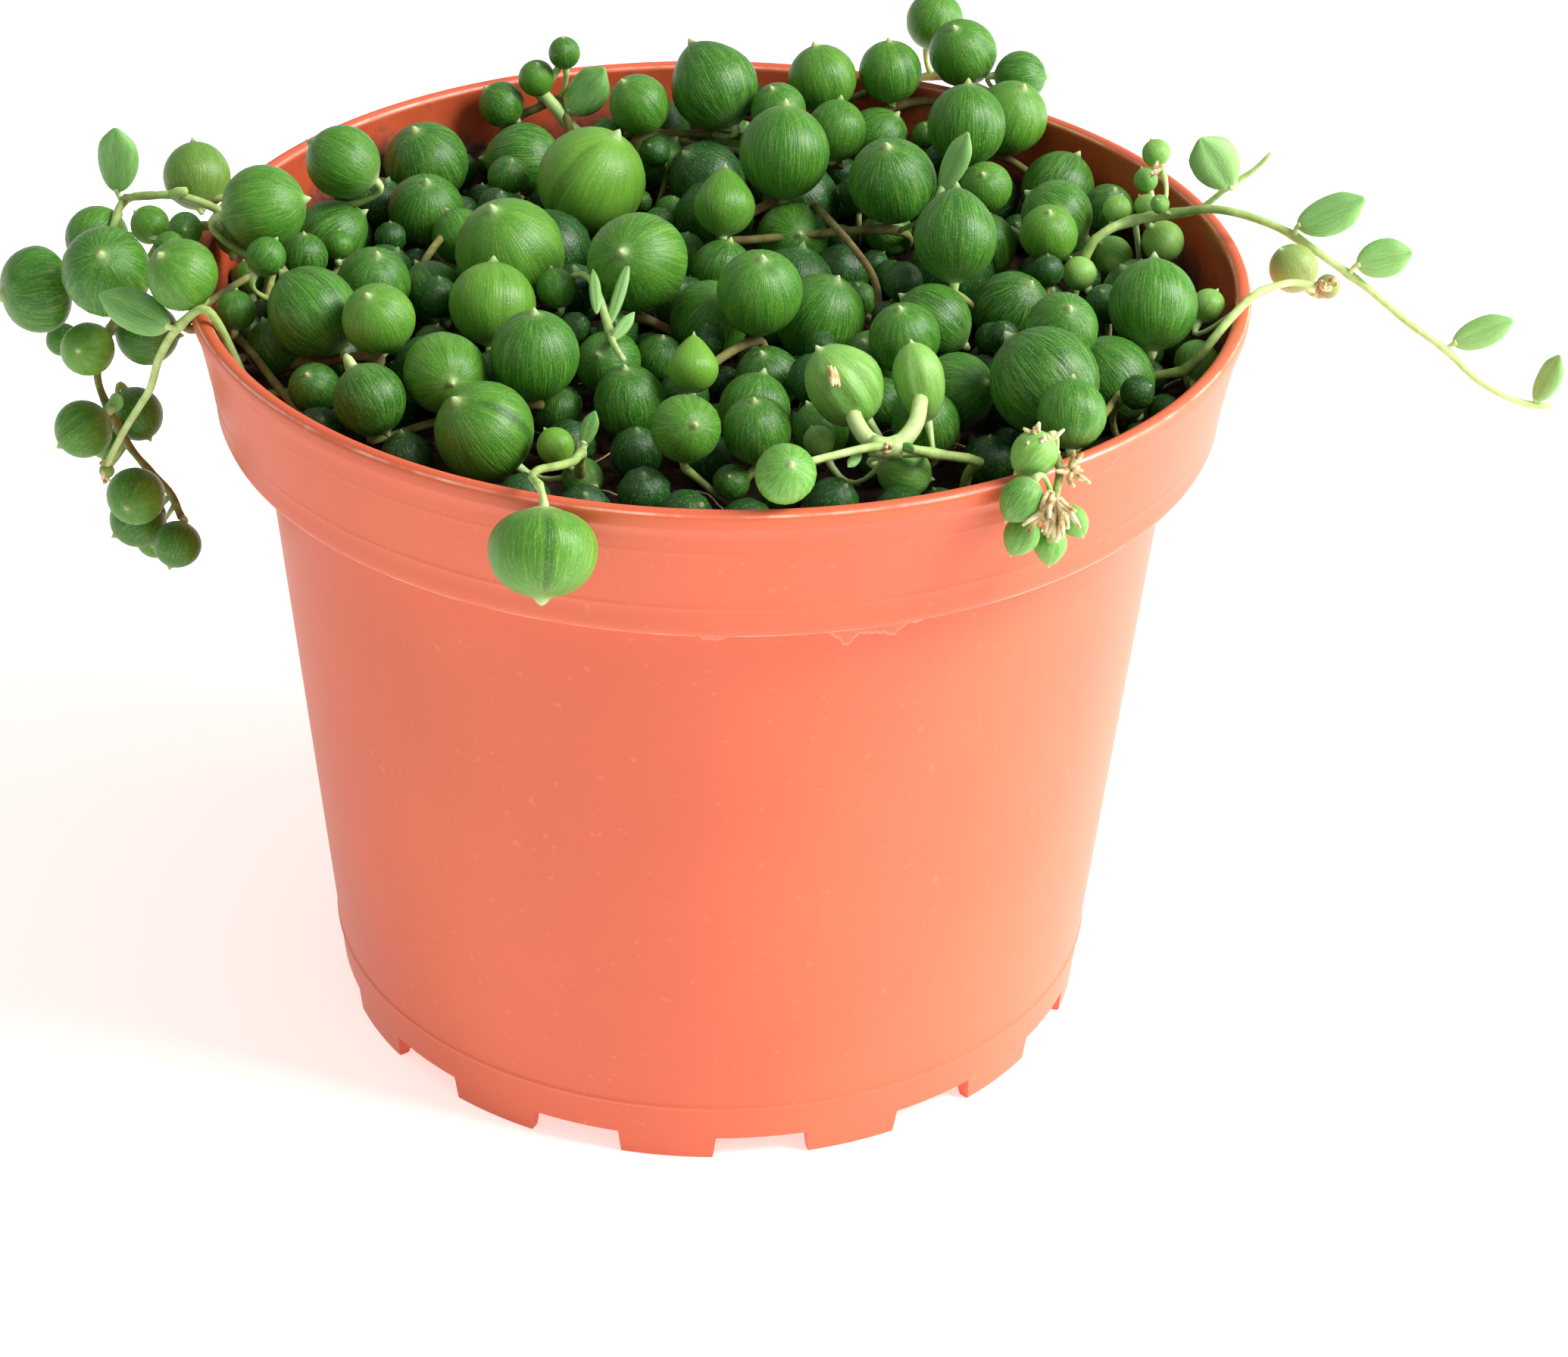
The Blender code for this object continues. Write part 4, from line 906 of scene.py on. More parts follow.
def stem_part(route, radius, age):
    """A tube as one part of a piece. Its age is one number, or one for each of its rings."""
    age = np.repeat(np.broadcast_to(age, len(route)), STEM_TURNS)
    return (tube(route, radius), np.linspace(0, 1, len(route) + 2),
            np.linspace(0, 1, STEM_TURNS + 1), {"age": np.concatenate([age[:1], age, age[-1:]])})


def build_stems(finish):
    """Each strand's runner, twigs and stalks as one piece. Gives each pearl's tip direction,
    and points along every stem."""
    tips, traced = np.zeros((len(rows), 3)), []
    for name, plan in STRANDS.items():
        first, last = first_of[name], first_of[name] + len(plan["pearls"])
        planned = [smooth_route(plan[key]) for key in ("stem", "twig") if key in plan]
        if planned:
            planned[0] = rooted(planned[0])
        routes = planned or [runner(first, last)]
        old, young = STEM_AGE.get(name, RUNNER_AGE)
        points = np.vstack(routes)
        traced.append(points)
        growths, stalks = [], []
        for i in range(first, last):
            growths.append(points[np.argmin(np.linalg.norm(points - centres[i], axis=1))])
            tips[i] = tip_of(i, growths[-1])
            stretch = SHAPES.get((name, i - first), (0.0, 0.0, 0.0))[1]
            base = centres[i] - tips[i] * radii[i] * (1 + STALK_SIDE * stretch)
            stalks.append((stalk(growths[-1], base, tips[i]), radii[i]))
        for base, end, width in plan.get("leaves", []):
            growths.append(points[np.argmin(np.linalg.norm(points - np.array(base), axis=1))])
            ahead = np.subtract(end, base) / np.linalg.norm(np.subtract(end, base))
            base = np.array(base) + LEAF_STALK_LAP * ahead
            stalks.append((stalk(growths[-1], base, ahead), width / 2))
        parts = []
        for k, route in enumerate(routes):
            share = np.linspace(0, 1, len(route))
            close = np.linalg.norm(route[:, None] - np.array(growths)[None], axis=2).min(axis=1)
            swell = 1 + NODE_SWELL * np.exp(-(close / NODE_LENGTH) ** 2)
            radius = (STEM_RADIUS + (STEM_TIP_RADIUS - STEM_RADIUS) * share) * swell
            radius = radius * (1 if k == 0 else TWIG_SHARE)
            parts.append(stem_part(route, radius, old + (young - old) * share))
        for route, size in stalks:
            traced.append(route)
            share = np.linspace(0, 1, len(route))
            age = young * (1 - share) * STALK_AGE
            parts.append(stem_part(route, stalk_radius(size, share), age))
        for owner, root_width, tip_width, age, places in SHOOTS:
            if owner == name:
                route = smooth_route(places)
                traced.append(route)
                radius = np.linspace(root_width, tip_width, len(route)) * SHOOT_SHARE
                parts.append(stem_part(route, radius, age))
        add_growth(name + "_stems", parts, finish, name)
    return tips, np.vstack(traced)


runner_stem_bark = runner_stem()
tips, stem_points = build_stems(runner_stem_bark)


# ---- Pearls: round water-storing leaves under a thin waxy skin. Each has a stalk end, a
# short pale beak at its tip, fine paler veins from one to the other, and along one side a
# narrow clear window that lets light in, which shows as a darker stripe.
PEARL_LEVELS, PEARL_TURNS = 24, 32
BEAK, BEAK_WIDTH = 0.17, 0.08
NECK, NECK_WIDTH = 0.06, 0.18
WINDOW_GROOVE, WINDOW_WIDTH = 0.016, 0.16
WINDOW_WAY, WINDOW_LEAN, FAINT_WINDOW = (0.25, -0.55, 0.8), 0.8, 0.45
PEARL_FIT = 0.985
VEIN_RUN, VEIN_SHIFT = 0.07, 20
RIBS, LOBE_TWO, LOBE_THREE, LOBE_TURN = 9, 0.014, 0.010, 6.3
TAPER_NARROWS, TAPER_LENGTHENS, TAPER_DROPS, SQUASH_WIDENS = 0.34, 0.22, 0.08, 0.3
# The common run of pearls: the most they taper, and how much longer or shorter they are.
COMMON_TAPER, COMMON_LENGTH = 0.12, 0.07
# A pearl's tone is TONE_LOW, a seeded share of TONE_SPREAD and its strand's own tone, less
# SUNK_SHADE, painted shade that is full by the time it lies at the lower of the sunk heights.
TONE_LOW, TONE_SPREAD, SUNK_SHADE, SUNK_HEIGHTS = 0.06, 0.50, 0.35, (82, 76)
COMMON_TONE, PALE_TONE, TRAILING_TONE = 0.1, 0.4, 0.15
BLUSH_COLOUR, BLOOM_COLOUR = "A68F62", "98C972"
# Pearls that have outgrown their strand's tone: from 0, deep green, to 1, bright and young.
TONES = {("front_centre_strand", 3): 1.25, ("front_shoot", 2): 0.6, ("front_shoot", 3): 0.8,
         ("front_shoot", 4): 0.35, ("front_shoot", 1): 0.9, ("rear_left_strand", 5): 0.95,
         ("front_hanging_strand", 3): 0.6, ("front_hanging_strand", 2): 1.2,
         ("bud_cluster", 0): 0.6, ("bud_cluster", 1): 0.05, ("bud_cluster", 2): 0.35,
         ("bud_cluster", 3): 0.45, ("bud_cluster", 4): 0.5,
         ("left_upper_strand", 2): 0.3, ("left_upper_strand", 4): 0.3, ("centre_strand", 1): 0.5,
         ("left_centre_strand", 1): 0.65, ("left_centre_strand", 2): 0.8,
         ("right_front_strand", 0): 0.1, ("right_front_strand", 2): 0.0,
         ("right_front_strand", 3): 0.35, ("right_front_strand", 4): 0.38,
         ("rear_right_strand", 1): 0.45, ("rear_right_strand", 2): 0.4,
         ("rear_right_strand", 4): 0.5, ("rear_strand", 3): 0.15, ("left_rim_strand", 2): 0.7,
         ("right_back_strand", 7): 0.7}
# Windows that show plainly; most are faint.
WINDOWS = {("front_hanging_strand", 3): 0.6, ("front_hanging_strand", 1): 0.7,
           ("rear_right_strand", 1): 0.6, ("centre_right_strand", 3): 0.6,
           ("left_rim_strand", 1): 0.5, ("rear_left_strand", 5): 0.4}
# Pearls that have blushed olive and pink in strong light.
BLUSH = {("right_rim_stalk", 2): 0.75, ("right_rim_stalk", 3): 1.0, ("left_upper_strand", 0): 0.25}
# Strands whose pearls are all young and pale.
PALE_STRANDS = ("right_rim_stalk", "flying_right_vine", "front_shoot", "bud_cluster",
                "left_flower_stalk")


def clustered(count, pull):
    """Shares of a turn from 0 to 1, closer together at a half: w + pull sin(2 pi w)."""
    w = np.linspace(0, 1, count + 1)
    return w + pull * np.sin(2 * np.pi * w)


def pearl_levels(count=PEARL_LEVELS):
    """Shares of the way from stalk to tip, closer together at both ends."""
    w = np.linspace(0, 1, count + 1)
    return w - 0.1 * np.sin(2 * np.pi * w)


def vein_place(fall, turn, shift):
    """Each point's place among the veins: round a unit circle by its turn and slowly up by
    its fall, shifted so that no two are alike."""
    vein = np.stack([np.cos(turn) + 0 * fall, np.sin(turn) + 0 * fall,
                     VEIN_RUN * fall + 0 * turn], -1)
    vein = np.vstack([(0, 0, 0), vein.reshape(-1, 3), (0, 0, VEIN_RUN * np.pi)])
    return vein + VEIN_SHIFT * shift


def pearl(centre, radius, tip, form, chance, count=PEARL_LEVELS, turns=PEARL_TURNS):
    """One pearl. From stalk (fall 0) to tip (fall pi) it is a ball, sin(fall) wide and
    -cos(fall) high, drawn out by a bell at each end into neck and beak, pinched along its
    window, and slightly out of round by two waves round its axis. form is its taper, its
    extra length, taken up on the stalk's side, and its ribs."""
    taper, longer, ribs = form
    levels, shares = pearl_levels(count), clustered(turns, 0.09)
    fall = np.pi * levels[1:-1, None]
    turn = 2 * np.pi * shares[None, :-1]
    wide = np.sin(fall) ** (1 + min(longer, 0))
    high = -np.cos(fall)
    high = high * (1 + np.where(high < 0, STALK_SIDE, TIP_SIDE) * longer)
    high = high + BEAK * np.exp(-((np.pi - fall) / BEAK_WIDTH) ** 2)
    high = high - NECK * np.exp(-(fall / NECK_WIDTH) ** 2)
    narrow = smooth(0.45, 1.0, levels[1:-1, None])
    wide = wide * (1 - TAPER_NARROWS * taper * narrow) * (1 - SQUASH_WIDENS * min(longer, 0))
    high = high + TAPER_LENGTHENS * taper * narrow ** 2
    groove = WINDOW_GROOVE * np.exp(-((turn - np.pi) / WINDOW_WIDTH) ** 2) * np.sin(fall) ** 0.5
    lobes = (LOBE_TWO * np.sin(2 * turn + LOBE_TURN * chance[1])
             + LOBE_THREE * np.sin(3 * turn + LOBE_TURN * chance[2]))
    rib = ribs * np.abs(np.sin(RIBS / 2 * turn)) * np.sin(fall) ** 2
    wide = wide * (1 - groove - rib + lobes * np.sin(fall))
    tall = 1 + TIP_SIDE * longer + TAPER_LENGTHENS * taper
    local = np.stack([wide * np.cos(turn), wide * np.sin(turn), high + 0 * turn], -1)
    local = np.vstack([(0, 0, -1 - STALK_SIDE * longer - NECK), local.reshape(-1, 3),
                       (0, 0, tall + BEAK)])
    local[:, 2] -= TAPER_DROPS * taper
    up = np.array(WINDOW_WAY) + WINDOW_LEAN * (chance[3:6] - 0.5)
    side = -(up - tip * (up @ tip))
    side /= np.linalg.norm(side)
    axes = np.array([side, np.cross(tip, side), tip])
    return (centre + PEARL_FIT * radius * local @ axes, levels, shares,
            vein_place(fall, turn, chance[6]))


def waxy_skin(name, deep, mid, light, vein, pale, window):
    """The skin of a succulent leaf: translucent flesh under a thin wax bloom. It is satin,
    with veins along its length, a faint dusty speckle and paler ends. Attributes: vein is
    the place round and along the pearl, tone its brightness, clear how dark its window is
    and blush how much it has coloured in strong light."""
    made, tree, shader = material(name)
    place = add(tree, "TexCoord").outputs["Object"]
    veins = add(tree, "Attribute", attribute_name="vein")
    tone = add(tree, "Attribute", attribute_name="tone")
    skin = add(tree, "SeparateXYZ", {"Vector": add(tree, "UVMap", uv_map="skin").outputs["UV"]})
    along, around = skin.outputs["Y"], skin.outputs["X"]
    # Broad veins: some 30 a turn. Fine ones: some 170, narrow and bright.
    broad = add(tree, "TexNoise", {"Vector": veins.outputs["Vector"], "Scale": 4.5, "Detail": 3.0,
                                   "Roughness": 0.6})
    fine = add(tree, "TexNoise", {"Vector": veins.outputs["Vector"], "Scale": 27.0, "Detail": 2.0})
    cloud = add(tree, "TexNoise", {"Vector": place, "Scale": 230.0, "Detail": 2.0})
    mixed = add(tree, "Mix", {"Factor": 0.35, "A": broad.outputs["Fac"], "B": cloud.outputs["Fac"]})
    lifted = add(tree, "Math", {0: mixed.outputs["Result"], 1: 0.75, 2: tone.outputs["Fac"]},
                 operation="MULTIPLY_ADD")
    base = add(tree, "ValToRGB", {"Fac": add(tree, "MapRange", {
        "Value": lifted.outputs["Value"], "From Min": 0.15, "From Max": 1.45}).outputs["Result"]},
        [(0.05, deep), (0.45, mid), (0.95, light)])
    streak = add(tree, "MapRange", {"Value": fine.outputs["Fac"], "From Min": 0.44, "From Max": 0.72,
                                    "To Max": 0.46})
    veined = add(tree, "Mix", {"Factor": streak.outputs["Result"], "A": base.outputs["Color"],
                               "B": vein}, data_type="RGBA")
    # The window: a stripe either side of u = 0.5 that fades out before both ends.
    off = add(tree, "Math", {0: around, 1: 0.5}, operation="SUBTRACT")
    aside = add(tree, "Math", {0: off.outputs["Value"]}, operation="ABSOLUTE")
    stripe = add(tree, "MapRange", {"Value": aside.outputs["Value"], "From Min": 0.008, "From Max": 0.026,
                                    "To Min": 0.75, "To Max": 0.0}, interpolation_type="SMOOTHSTEP")
    ends = add(tree, "ValToRGB", {"Fac": along}, [(0.10, 0.0), (0.25, 1.0), (0.80, 1.0), (0.94, 0.0)])
    clear = add(tree, "Attribute", attribute_name="clear")
    faded = add(tree, "Math", {0: stripe.outputs["Result"], 1: ends.outputs["Color"]},
                operation="MULTIPLY")
    pane = add(tree, "Math", {0: faded.outputs["Value"], 1: clear.outputs["Fac"]},
               operation="MULTIPLY")
    windowed = add(tree, "Mix", {"Factor": pane.outputs["Value"], "A": veined.outputs["Result"],
                                 "B": window}, data_type="RGBA")
    # Paler at the stalk, round the tip, and nearly white on the beak itself.
    fade = add(tree, "ValToRGB", {"Fac": along},
               [(0.0, 0.75), (0.12, 0.12), (0.3, 0.0), (0.90, 0.0), (0.955, 0.12), (0.985, 0.7)])
    ended = add(tree, "Mix", {"Factor": fade.outputs["Color"], "A": windowed.outputs["Result"],
                              "B": pale}, data_type="RGBA")
    # A blush of olive and pink, on the few pearls that have it, stronger towards the stalk.
    blush = add(tree, "Attribute", attribute_name="blush")
    warm = add(tree, "MapRange", {"Value": along, "From Min": 0.1, "From Max": 0.9, "To Min": 1.0,
                                  "To Max": 0.35})
    warmed = add(tree, "Math", {0: warm.outputs["Result"], 1: blush.outputs["Fac"]},
                 operation="MULTIPLY")
    blushed = add(tree, "Mix", {"Factor": warmed.outputs["Value"], "A": ended.outputs["Result"],
                                "B": BLUSH_COLOUR}, data_type="RGBA")
    # Wax bloom: specks of about a fifth of a millimetre.
    dust = add(tree, "TexNoise", {"Vector": place, "Scale": 4200.0, "Detail": 1.0})
    speck = add(tree, "MapRange", {"Value": dust.outputs["Fac"], "From Min": 0.56, "From Max": 0.76,
                                   "To Max": 0.26})
    bloomed = add(tree, "Mix", {"Factor": speck.outputs["Result"], "A": blushed.outputs["Result"],
                                "B": BLOOM_COLOUR}, data_type="RGBA")
    tree.links.new(bloomed.outputs["Result"], shader.inputs["Base Color"])
    rough = add(tree, "MapRange", {"Value": broad.outputs["Fac"], "To Min": 0.30, "To Max": 0.46})
    tree.links.new(rough.outputs["Result"], shader.inputs["Roughness"])
    shader.inputs["IOR"].default_value = 1.42
    shader.inputs["Subsurface Weight"].default_value = 0.18
    shader.inputs["Subsurface Radius"].default_value = (0.5, 1.0, 0.25)
    shader.inputs["Subsurface Scale"].default_value = 0.0012
    ridge = add(tree, "Bump", {"Height": fine.outputs["Fac"], "Strength": 0.25, "Distance": 0.0003})
    grain = add(tree, "Bump", {"Height": dust.outputs["Fac"], "Strength": 0.30, "Distance": 0.0001,
                               "Normal": ridge.outputs["Normal"]})
    tree.links.new(grain.outputs["Normal"], shader.inputs["Normal"])
    return made


pearl_skin = waxy_skin("waxy_pearl_skin", "1B5212", "36731C", "699F2F",
                       vein="88B647", pale="D3E0A2", window="173F0F")
young_skin = waxy_skin("waxy_young_skin", "3C7D26", "589834", "86B754",
                       vein="B4D47C", pale="E0E8B8", window="2E6A1F")


def skin_part(shape, tone, clear, blush=0.0):
    """A pearl or a leaf as one part of a piece, with what its skin needs to know."""
    points, levels, shares, vein = shape
    return points, levels, shares, {"vein": vein, "tone": np.float32([tone]),
                                    "clear": np.float32([clear]), "blush": np.float32([blush])}


def build_pearls():
    """The pearls of each strand as one piece."""
    for name, plan in STRANDS.items():
        first, parts = first_of[name], []
        strand_tone = (PALE_TONE if name in PALE_STRANDS
                       else TRAILING_TONE if name == "left_trailing_strand" else COMMON_TONE)
        for k in range(len(plan["pearls"])):
            i = first + k
            chance = draws.random(8)
            # Pearls of strands without a planned stem are painted darker, as shade, where they lie low in the
            # mound.
            sunk = 0.0 if "stem" in plan else SUNK_SHADE * smooth(*SUNK_HEIGHTS, centres[i, 2])
            tone = TONE_LOW + TONE_SPREAD * chance[7] - sunk + strand_tone
            tone = TONES.get((name, k), tone)
            form = (COMMON_TAPER * chance[2], COMMON_LENGTH * chance[0] - COMMON_LENGTH / 2, 0.0)
            form = SHAPES.get((name, k), form)
            clear = WINDOWS.get((name, k), FAINT_WINDOW * chance[5] ** 2)
            parts.append(skin_part(pearl(centres[i], radii[i], tips[i], form, chance), tone, clear,
                                   BLUSH.get((name, k), 0.0)))
        finish = young_skin if name in PALE_STRANDS else pearl_skin
        add_growth(name + "_pearls", parts, finish, name)


build_pearls()


# ---- Young leaves: not yet swollen into pearls. Pointed ovals, plump under a flat face with
# a groove down its middle, pale and a little blue with bloom, on short stalks.
LEAF_LEVELS, LEAF_TURNS, LEAF_PLUMP = 22, 24, 0.58
LEAF_POINT_START, LEAF_POINT_NARROWS, LEAF_BOW = 0.72, 0.35, 0.14
LEAF_GROOVE, LEAF_GROOVE_WIDTH = 0.16, 0.30
LEAF_FACE, LEAF_FACE_LEAN = (0.2, 0.75, -0.5), 0.5
LEAF_TONE, PALE_LEAF_TONE, LEAF_TONE_SPREAD, LEAF_WINDOW = 0.3, 0.75, 0.3, 0.12
PALE_LEAVES = ("flying_right_vine", "centre_back_strand", "centre_strand")
# Small leaves of the shoots in the mound: strand, base, tip, width.
SHOOT_LEAVES = [("centre_strand", (-10.4, -14.0, 80.4), (-8.7, -9.0, 85.2), 1.3),
                ("centre_strand", (-11.6, -13.0, 81.2), (-12.2, -8.8, 84.0), 1.2),
                ("centre_strand", (-9.9, -17.0, 80.4), (-7.9, -14.8, 82.4), 1.3),
                ("front_shoot", (13.8, -39.6, 80.8), (12.6, -41.2, 80.2), 1.0),
                ("front_shoot", (17.4, -38.6, 81.2), (18.6, -40.2, 81.6), 1.0)]


def leaf(base, end, width, chance):
    """A pointed oval: half its width is sin(fall)^1.1, its thickness a share of that, with
    a groove along its face at u = 0.5, and bowed by a parabola along its length."""
    base, end = np.array(base, float), np.array(end, float)
    length = np.linalg.norm(end - base)
    ahead = (end - base) / length
    levels, shares = pearl_levels(LEAF_LEVELS), clustered(LEAF_TURNS, 0.07)
    fall, turn = np.pi * levels[1:-1, None], 2 * np.pi * shares[None, :-1]
    along = length * (1 - np.cos(fall)) / 2
    point = smooth(LEAF_POINT_START, 1.0, along / length)
    half = width / 2 * np.sin(fall) ** 1.1 * (1 - LEAF_POINT_NARROWS * point)
    groove = 1 - LEAF_GROOVE * np.exp(-((turn - np.pi) / LEAF_GROOVE_WIDTH) ** 2)
    bow = LEAF_BOW * width * (1 - (2 * along / length - 1) ** 2)
    thick = LEAF_PLUMP * half * np.cos(turn) * groove
    local = np.stack([half * np.sin(turn), thick + bow, along + 0 * turn], -1).reshape(-1, 3)
    local = np.vstack([(0, 0, -0.1), local, (0, 0, length)])
    face = np.array(LEAF_FACE) + LEAF_FACE_LEAN * (chance[:3] - 0.5)
    face = face - ahead * (face @ ahead)
    face /= np.linalg.norm(face)
    axes = np.array([np.cross(face, ahead), face, ahead])
    return base + local @ axes, levels, shares, vein_place(fall, turn, chance[3])


leaf_skin = waxy_skin("waxy_young_leaf", "3C7F30", "619E47", "8CC06C",
                      vein="B8DA94", pale="DCE8B4", window="3B7A2E")


def build_leaves():
    """The young leaves of each strand as one piece."""
    for name, plan in STRANDS.items():
        parts, bright = [], PALE_LEAF_TONE if name in PALE_LEAVES else LEAF_TONE
        extra = [row[1:] for row in SHOOT_LEAVES if row[0] == name]
        for base, end, width in plan.get("leaves", []) + extra:
            chance = draws.random(5)
            parts.append(skin_part(leaf(base, end, width, chance),
                                   bright + LEAF_TONE_SPREAD * chance[4], LEAF_WINDOW))
        if parts:
            add_growth(name + "_leaves", parts, leaf_skin, name)


build_leaves()


# ---- Low pearls: the older, deeper ones that grow under the mound and close its gaps. They
# sit on the soil or on each other, on short stalks that come up out of the compost. Their
# skin is a much darker copy of the pearl skin: painted shade.
LOW_SIZES, LOW_TRIES, LOW_LIFTS = (4.3, 3.7, 3.1, 2.6, 2.1, 1.7), 1300, (0.0, 3.0, 5.5)
LOW_LEVELS, LOW_TURNS = 11, 14
# How high they may reach: lower at the front, where the mound is open.
FRONT_Y, FRONT_TOP, BACK_RISE = -26.0, 77.5, 0.5
LOW_GAP, LOW_WALL_GAP, STEM_BERTH = 0.15, 0.4, 1.3
LOW_WAY, LOW_LEAN, LOW_TAPER = (0, -0.25, 0.8), 0.5, 0.1
LOW_TONE, LOW_WINDOW = 0.5, 0.3
LOW_FOOT_BACK, LOW_FOOT_DEPTH, LOW_BASE, LOW_STALK_SHARE, LOW_STALK_AGE = 0.3, 0.6, 1.04, 0.8, 0.6


def low_places():
    """Seeded places on the soil, tried from the largest size to the smallest: each is kept
    if its pearl is clear of every other and stays inside the pot."""
    stem_radii = np.full(len(stem_points), STEM_BERTH * STEM_RADIUS)
    kept_centres, kept_radii = np.vstack([centres, stem_points]), np.append(radii, stem_radii)
    known = len(kept_centres)
    for lift in LOW_LIFTS:
        for radius in LOW_SIZES:
            room = BAND_LOW_RADIUS - WALL - radius - LOW_WALL_GAP
            flat = room * np.sqrt(draws.random(LOW_TRIES))
            angle = 2 * np.pi * draws.random(LOW_TRIES)
            height = SOIL_TOP + radius + lift * draws.random(LOW_TRIES)
            tries = np.stack([flat * np.cos(angle), flat * np.sin(angle), height], -1)
            top = np.where(tries[:, 1] < FRONT_Y, FRONT_TOP, POT_HEIGHT + BACK_RISE)
            for place in tries[height + radius < top]:
                gap = np.linalg.norm(kept_centres - place, axis=1) - kept_radii
                if gap.min() > radius + LOW_GAP:
                    kept_centres = np.vstack([kept_centres, place])
                    kept_radii = np.append(kept_radii, radius)
    return kept_centres[known:], kept_radii[known:]


# A much darker copy of the pearl skin: painted shade for the low pearls in the mound's gaps.
shaded_skin = waxy_skin("waxy_shaded_skin", "0D2E0F", "1A4615", "316724",
                        vein="477A31", pale="8CA668", window="0E2B0B")


def build_low_pearls():
    """The low pearls as one piece, and their stalks as another."""
    parts, stalks = [], []
    for centre, radius in zip(*low_places()):
        chance = draws.random(8)
        tip = np.array(LOW_WAY) + LOW_LEAN * (chance[:3] - 0.5) * 2
        tip /= np.linalg.norm(tip)
        shape = pearl(centre, radius, tip, (LOW_TAPER * chance[2], 0.0, 0.0), chance,
                      LOW_LEVELS, LOW_TURNS)
        parts.append(skin_part(shape, LOW_TONE * chance[7], LOW_WINDOW * chance[4]))
        foot = np.array([centre[0], centre[1] + LOW_FOOT_BACK, SOIL_TOP - LOW_FOOT_DEPTH])
        route = stalk(foot, centre - tip * radius * LOW_BASE, tip)
        stalks.append(stem_part(route, STALK_RADIUS * LOW_STALK_SHARE, LOW_STALK_AGE))
    add_growth("low_pearls", parts, shaded_skin, None)
    add_growth("low_pearl_stalks", stalks, runner_stem_bark, None)


build_low_pearls()


# ---- Dried flowers: spent flower heads and dropped bracts, left as small papery tufts of
# cream and brown strands at a few stem ends. Fine dead roots lie on the soil.
# Each tuft: strand, place, the way it points, how many wisps, their length and spread.
TUFTS = [("right_rim_stalk", (59.2, -2.6, 81.4), (0.5, -0.8, 0.3), 10, 2.0, 0.85),
         ("bud_cluster", (29.8, -43.4, 84.0), (-0.3, -0.5, 1.0), 18, 2.8, 0.6),
         ("bud_cluster", (32.4, -44.6, 82.4), (0.5, -0.8, 0.4), 12, 2.0, 0.7),
         ("bud_cluster", (31.0, -47.4, 81.2), (0.0, -0.7, -0.9), 24, 4.2, 0.4),
         ("flying_right_vine", (43.7, 14.0, 85.5), (0.2, 0.0, 1.0), 5, 1.4, 0.8),
         ("front_shoot", (16.2, -39.0, 81.0), (0.1, -1.0, 0.3), 6, 1.2, 0.8),
         ("front_shoot", (10.9, -34.6, 87.0), (0.25, -0.75, -0.75), 8, 1.9, 0.16),
         ("left_trailing_strand", (-59.6, 0.6, 74.0), (-0.6, -0.7, 0.2), 5, 1.2, 0.8),
         ("left_flower_stalk", (-61.2, -8.2, 60.2), (-0.5, -0.5, -0.6), 6, 1.3, 0.8)]
TUFT_RADIUS, TUFT_START, TUFT_BEND, TUFT_STEPS, TUFT_TURNS = 0.21, 0.25, 0.4, 7, 6
DRY_BROWN, DRY_BUFF, DRY_CREAM = "8A6338", "D3BC86", "F0E6C0"
# Dead roots: how many, the shortest and longest, how thick, and how far out they reach.
FIBRES, FIBRE_LENGTH, FIBRE_RADIUS, FIBRE_REACH = 90, (3.0, 9.0), 0.10, 47.0
FIBRE_STEPS, FIBRE_TURNS, FIBRE_CURL, FIBRE_LIFT, FIBRE_ARCH = 9, 5, 2.4, 0.25, 0.5


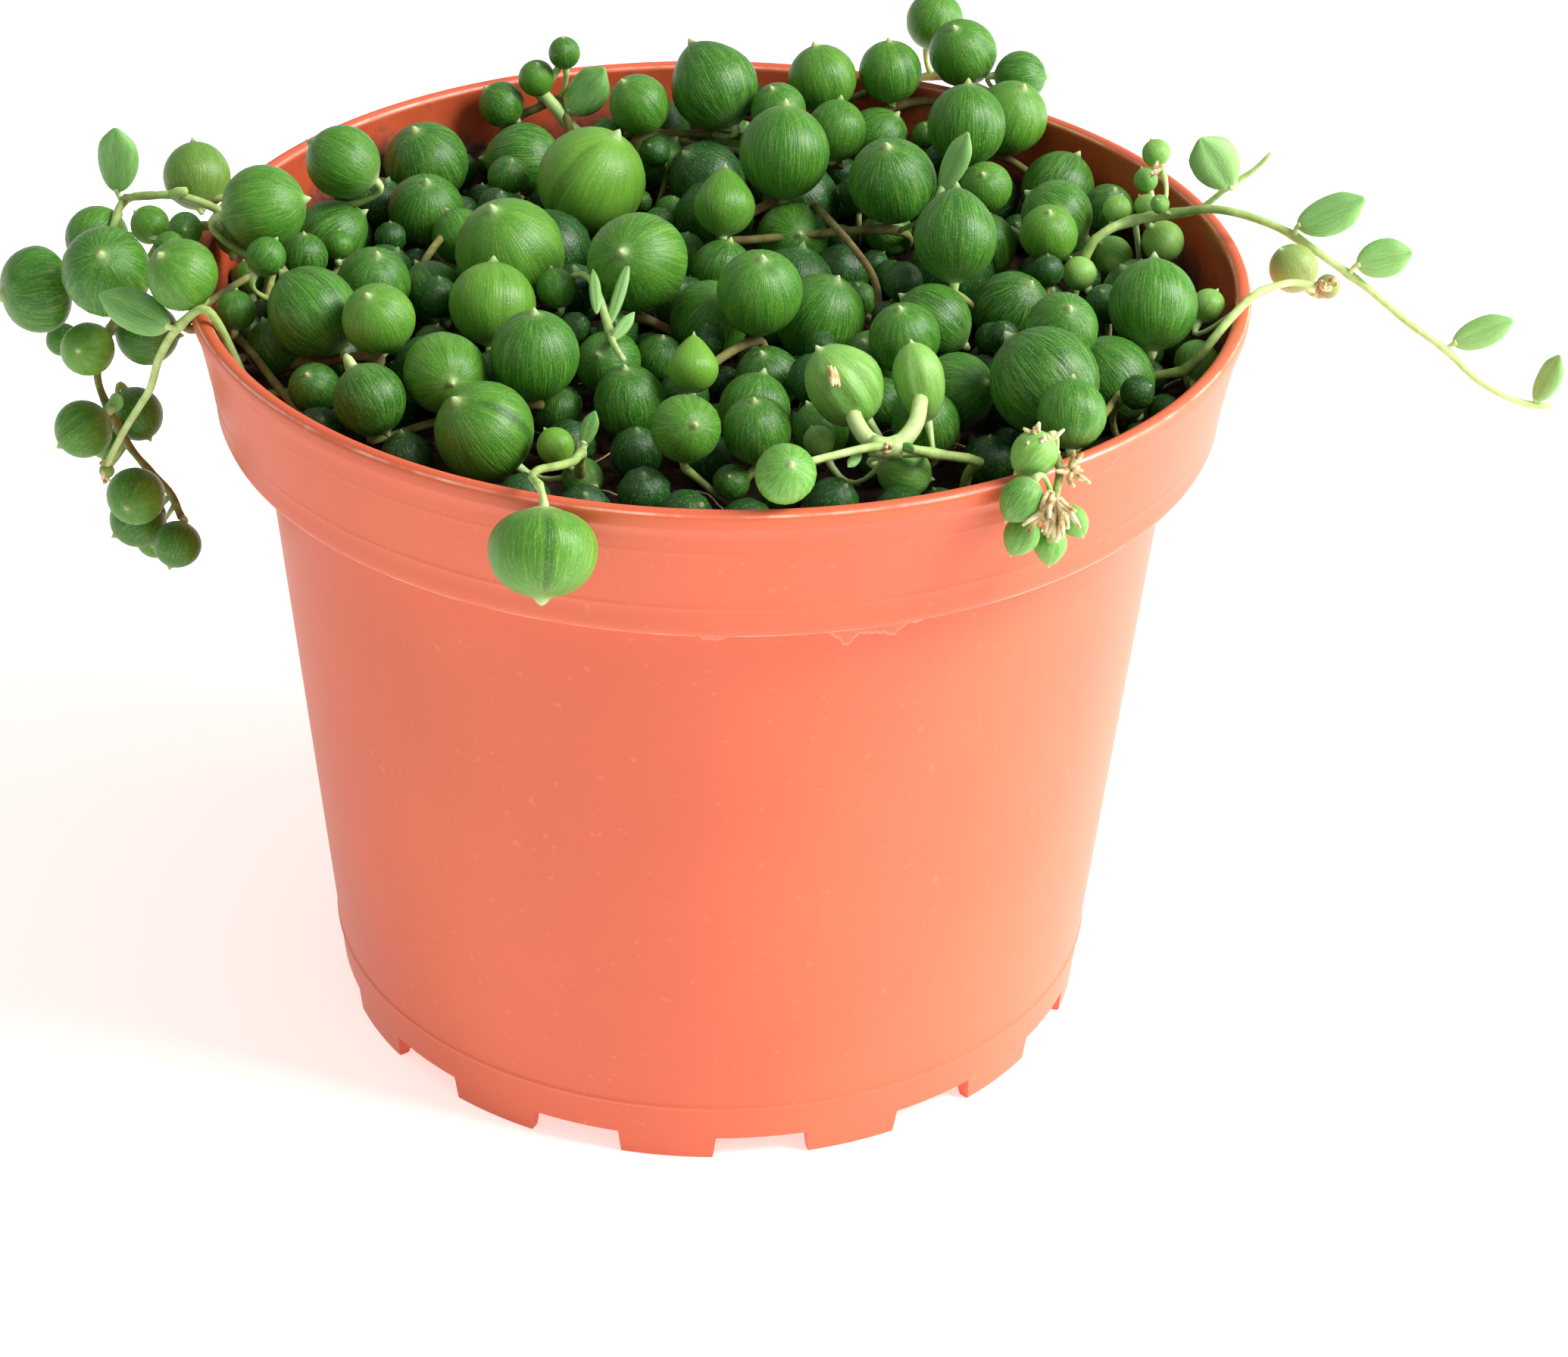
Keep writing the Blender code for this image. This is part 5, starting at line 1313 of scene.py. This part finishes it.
def papery_remains():
    """Dry flower parts: matt and papery, cream at the tips and brown where they join."""
    made, tree, shader = material("dry_papery_flower_remains")
    place = add(tree, "TexCoord").outputs["Object"]
    patch = add(tree, "TexNoise", {"Vector": place, "Scale": 1100.0, "Detail": 3.0})
    tone = add(tree, "ValToRGB", {"Fac": patch.outputs["Fac"]},
               [(0.30, DRY_BROWN), (0.46, DRY_BUFF), (0.64, DRY_CREAM)])
    tree.links.new(tone.outputs["Color"], shader.inputs["Base Color"])
    shader.inputs["Roughness"].default_value = 0.85
    bump = add(tree, "Bump", {"Height": patch.outputs["Fac"], "Strength": 0.5, "Distance": 0.0003})
    tree.links.new(bump.outputs["Normal"], shader.inputs["Normal"])
    return made


def build_remains(finish):
    """Each tuft is a spray of short bent wisps, thick in the middle, from one point."""
    t = np.linspace(0, 1, TUFT_STEPS)[:, None]
    levels, turns = np.linspace(0, 1, TUFT_STEPS + 2), np.linspace(0, 1, TUFT_TURNS + 1)
    radius = TUFT_RADIUS * (0.35 + np.sin(np.pi * t[:, 0] * 0.9))
    for number, (name, place, way, count, length, loose) in enumerate(TUFTS):
        parts = []
        for _ in range(count):
            spread = np.array(way) + loose * draws.standard_normal(3)
            spread *= length * (0.5 + 0.5 * draws.random()) / np.linalg.norm(spread)
            bend = TUFT_BEND * loose * length * draws.standard_normal(3)
            start = np.array(place) + TUFT_START * draws.standard_normal(3)
            route = start + spread * t + bend * t * (1 - t)
            parts.append((tube(route, radius, TUFT_TURNS), levels, turns, {}))
        add_growth(f"{name}_dry_tuft_{number}", parts, finish, name)


def build_fibres(finish):
    """Fine dead roots: each a shallow arc on the soil's top, its heading turning evenly."""
    t = np.linspace(0, 1, FIBRE_STEPS)
    levels, turns = np.linspace(0, 1, FIBRE_STEPS + 2), np.linspace(0, 1, FIBRE_TURNS + 1)
    parts = []
    for x, y in zip(*scattered(FIBRES)):
        length = FIBRE_LENGTH[0] + (FIBRE_LENGTH[1] - FIBRE_LENGTH[0]) * draws.random()
        heading = 2 * np.pi * draws.random() + FIBRE_CURL * (draws.random() - 0.5) * t
        along = np.stack([x + np.cumsum(np.cos(heading)) * length / FIBRE_STEPS,
                          y + np.cumsum(np.sin(heading)) * length / FIBRE_STEPS], -1)
        along *= np.minimum(1, FIBRE_REACH / np.hypot(*along.T))[:, None]
        arch = FIBRE_ARCH * draws.random() * np.sin(np.pi * t)
        height = soil_height(along[:, 0], along[:, 1]) + FIBRE_LIFT + arch
        route = np.column_stack([along, height])
        parts.append((tube(route, FIBRE_RADIUS, FIBRE_TURNS), levels, turns, {}))
    add_growth("root_fibres", parts, finish, None)


remains = papery_remains()
build_remains(remains)
build_fibres(remains)
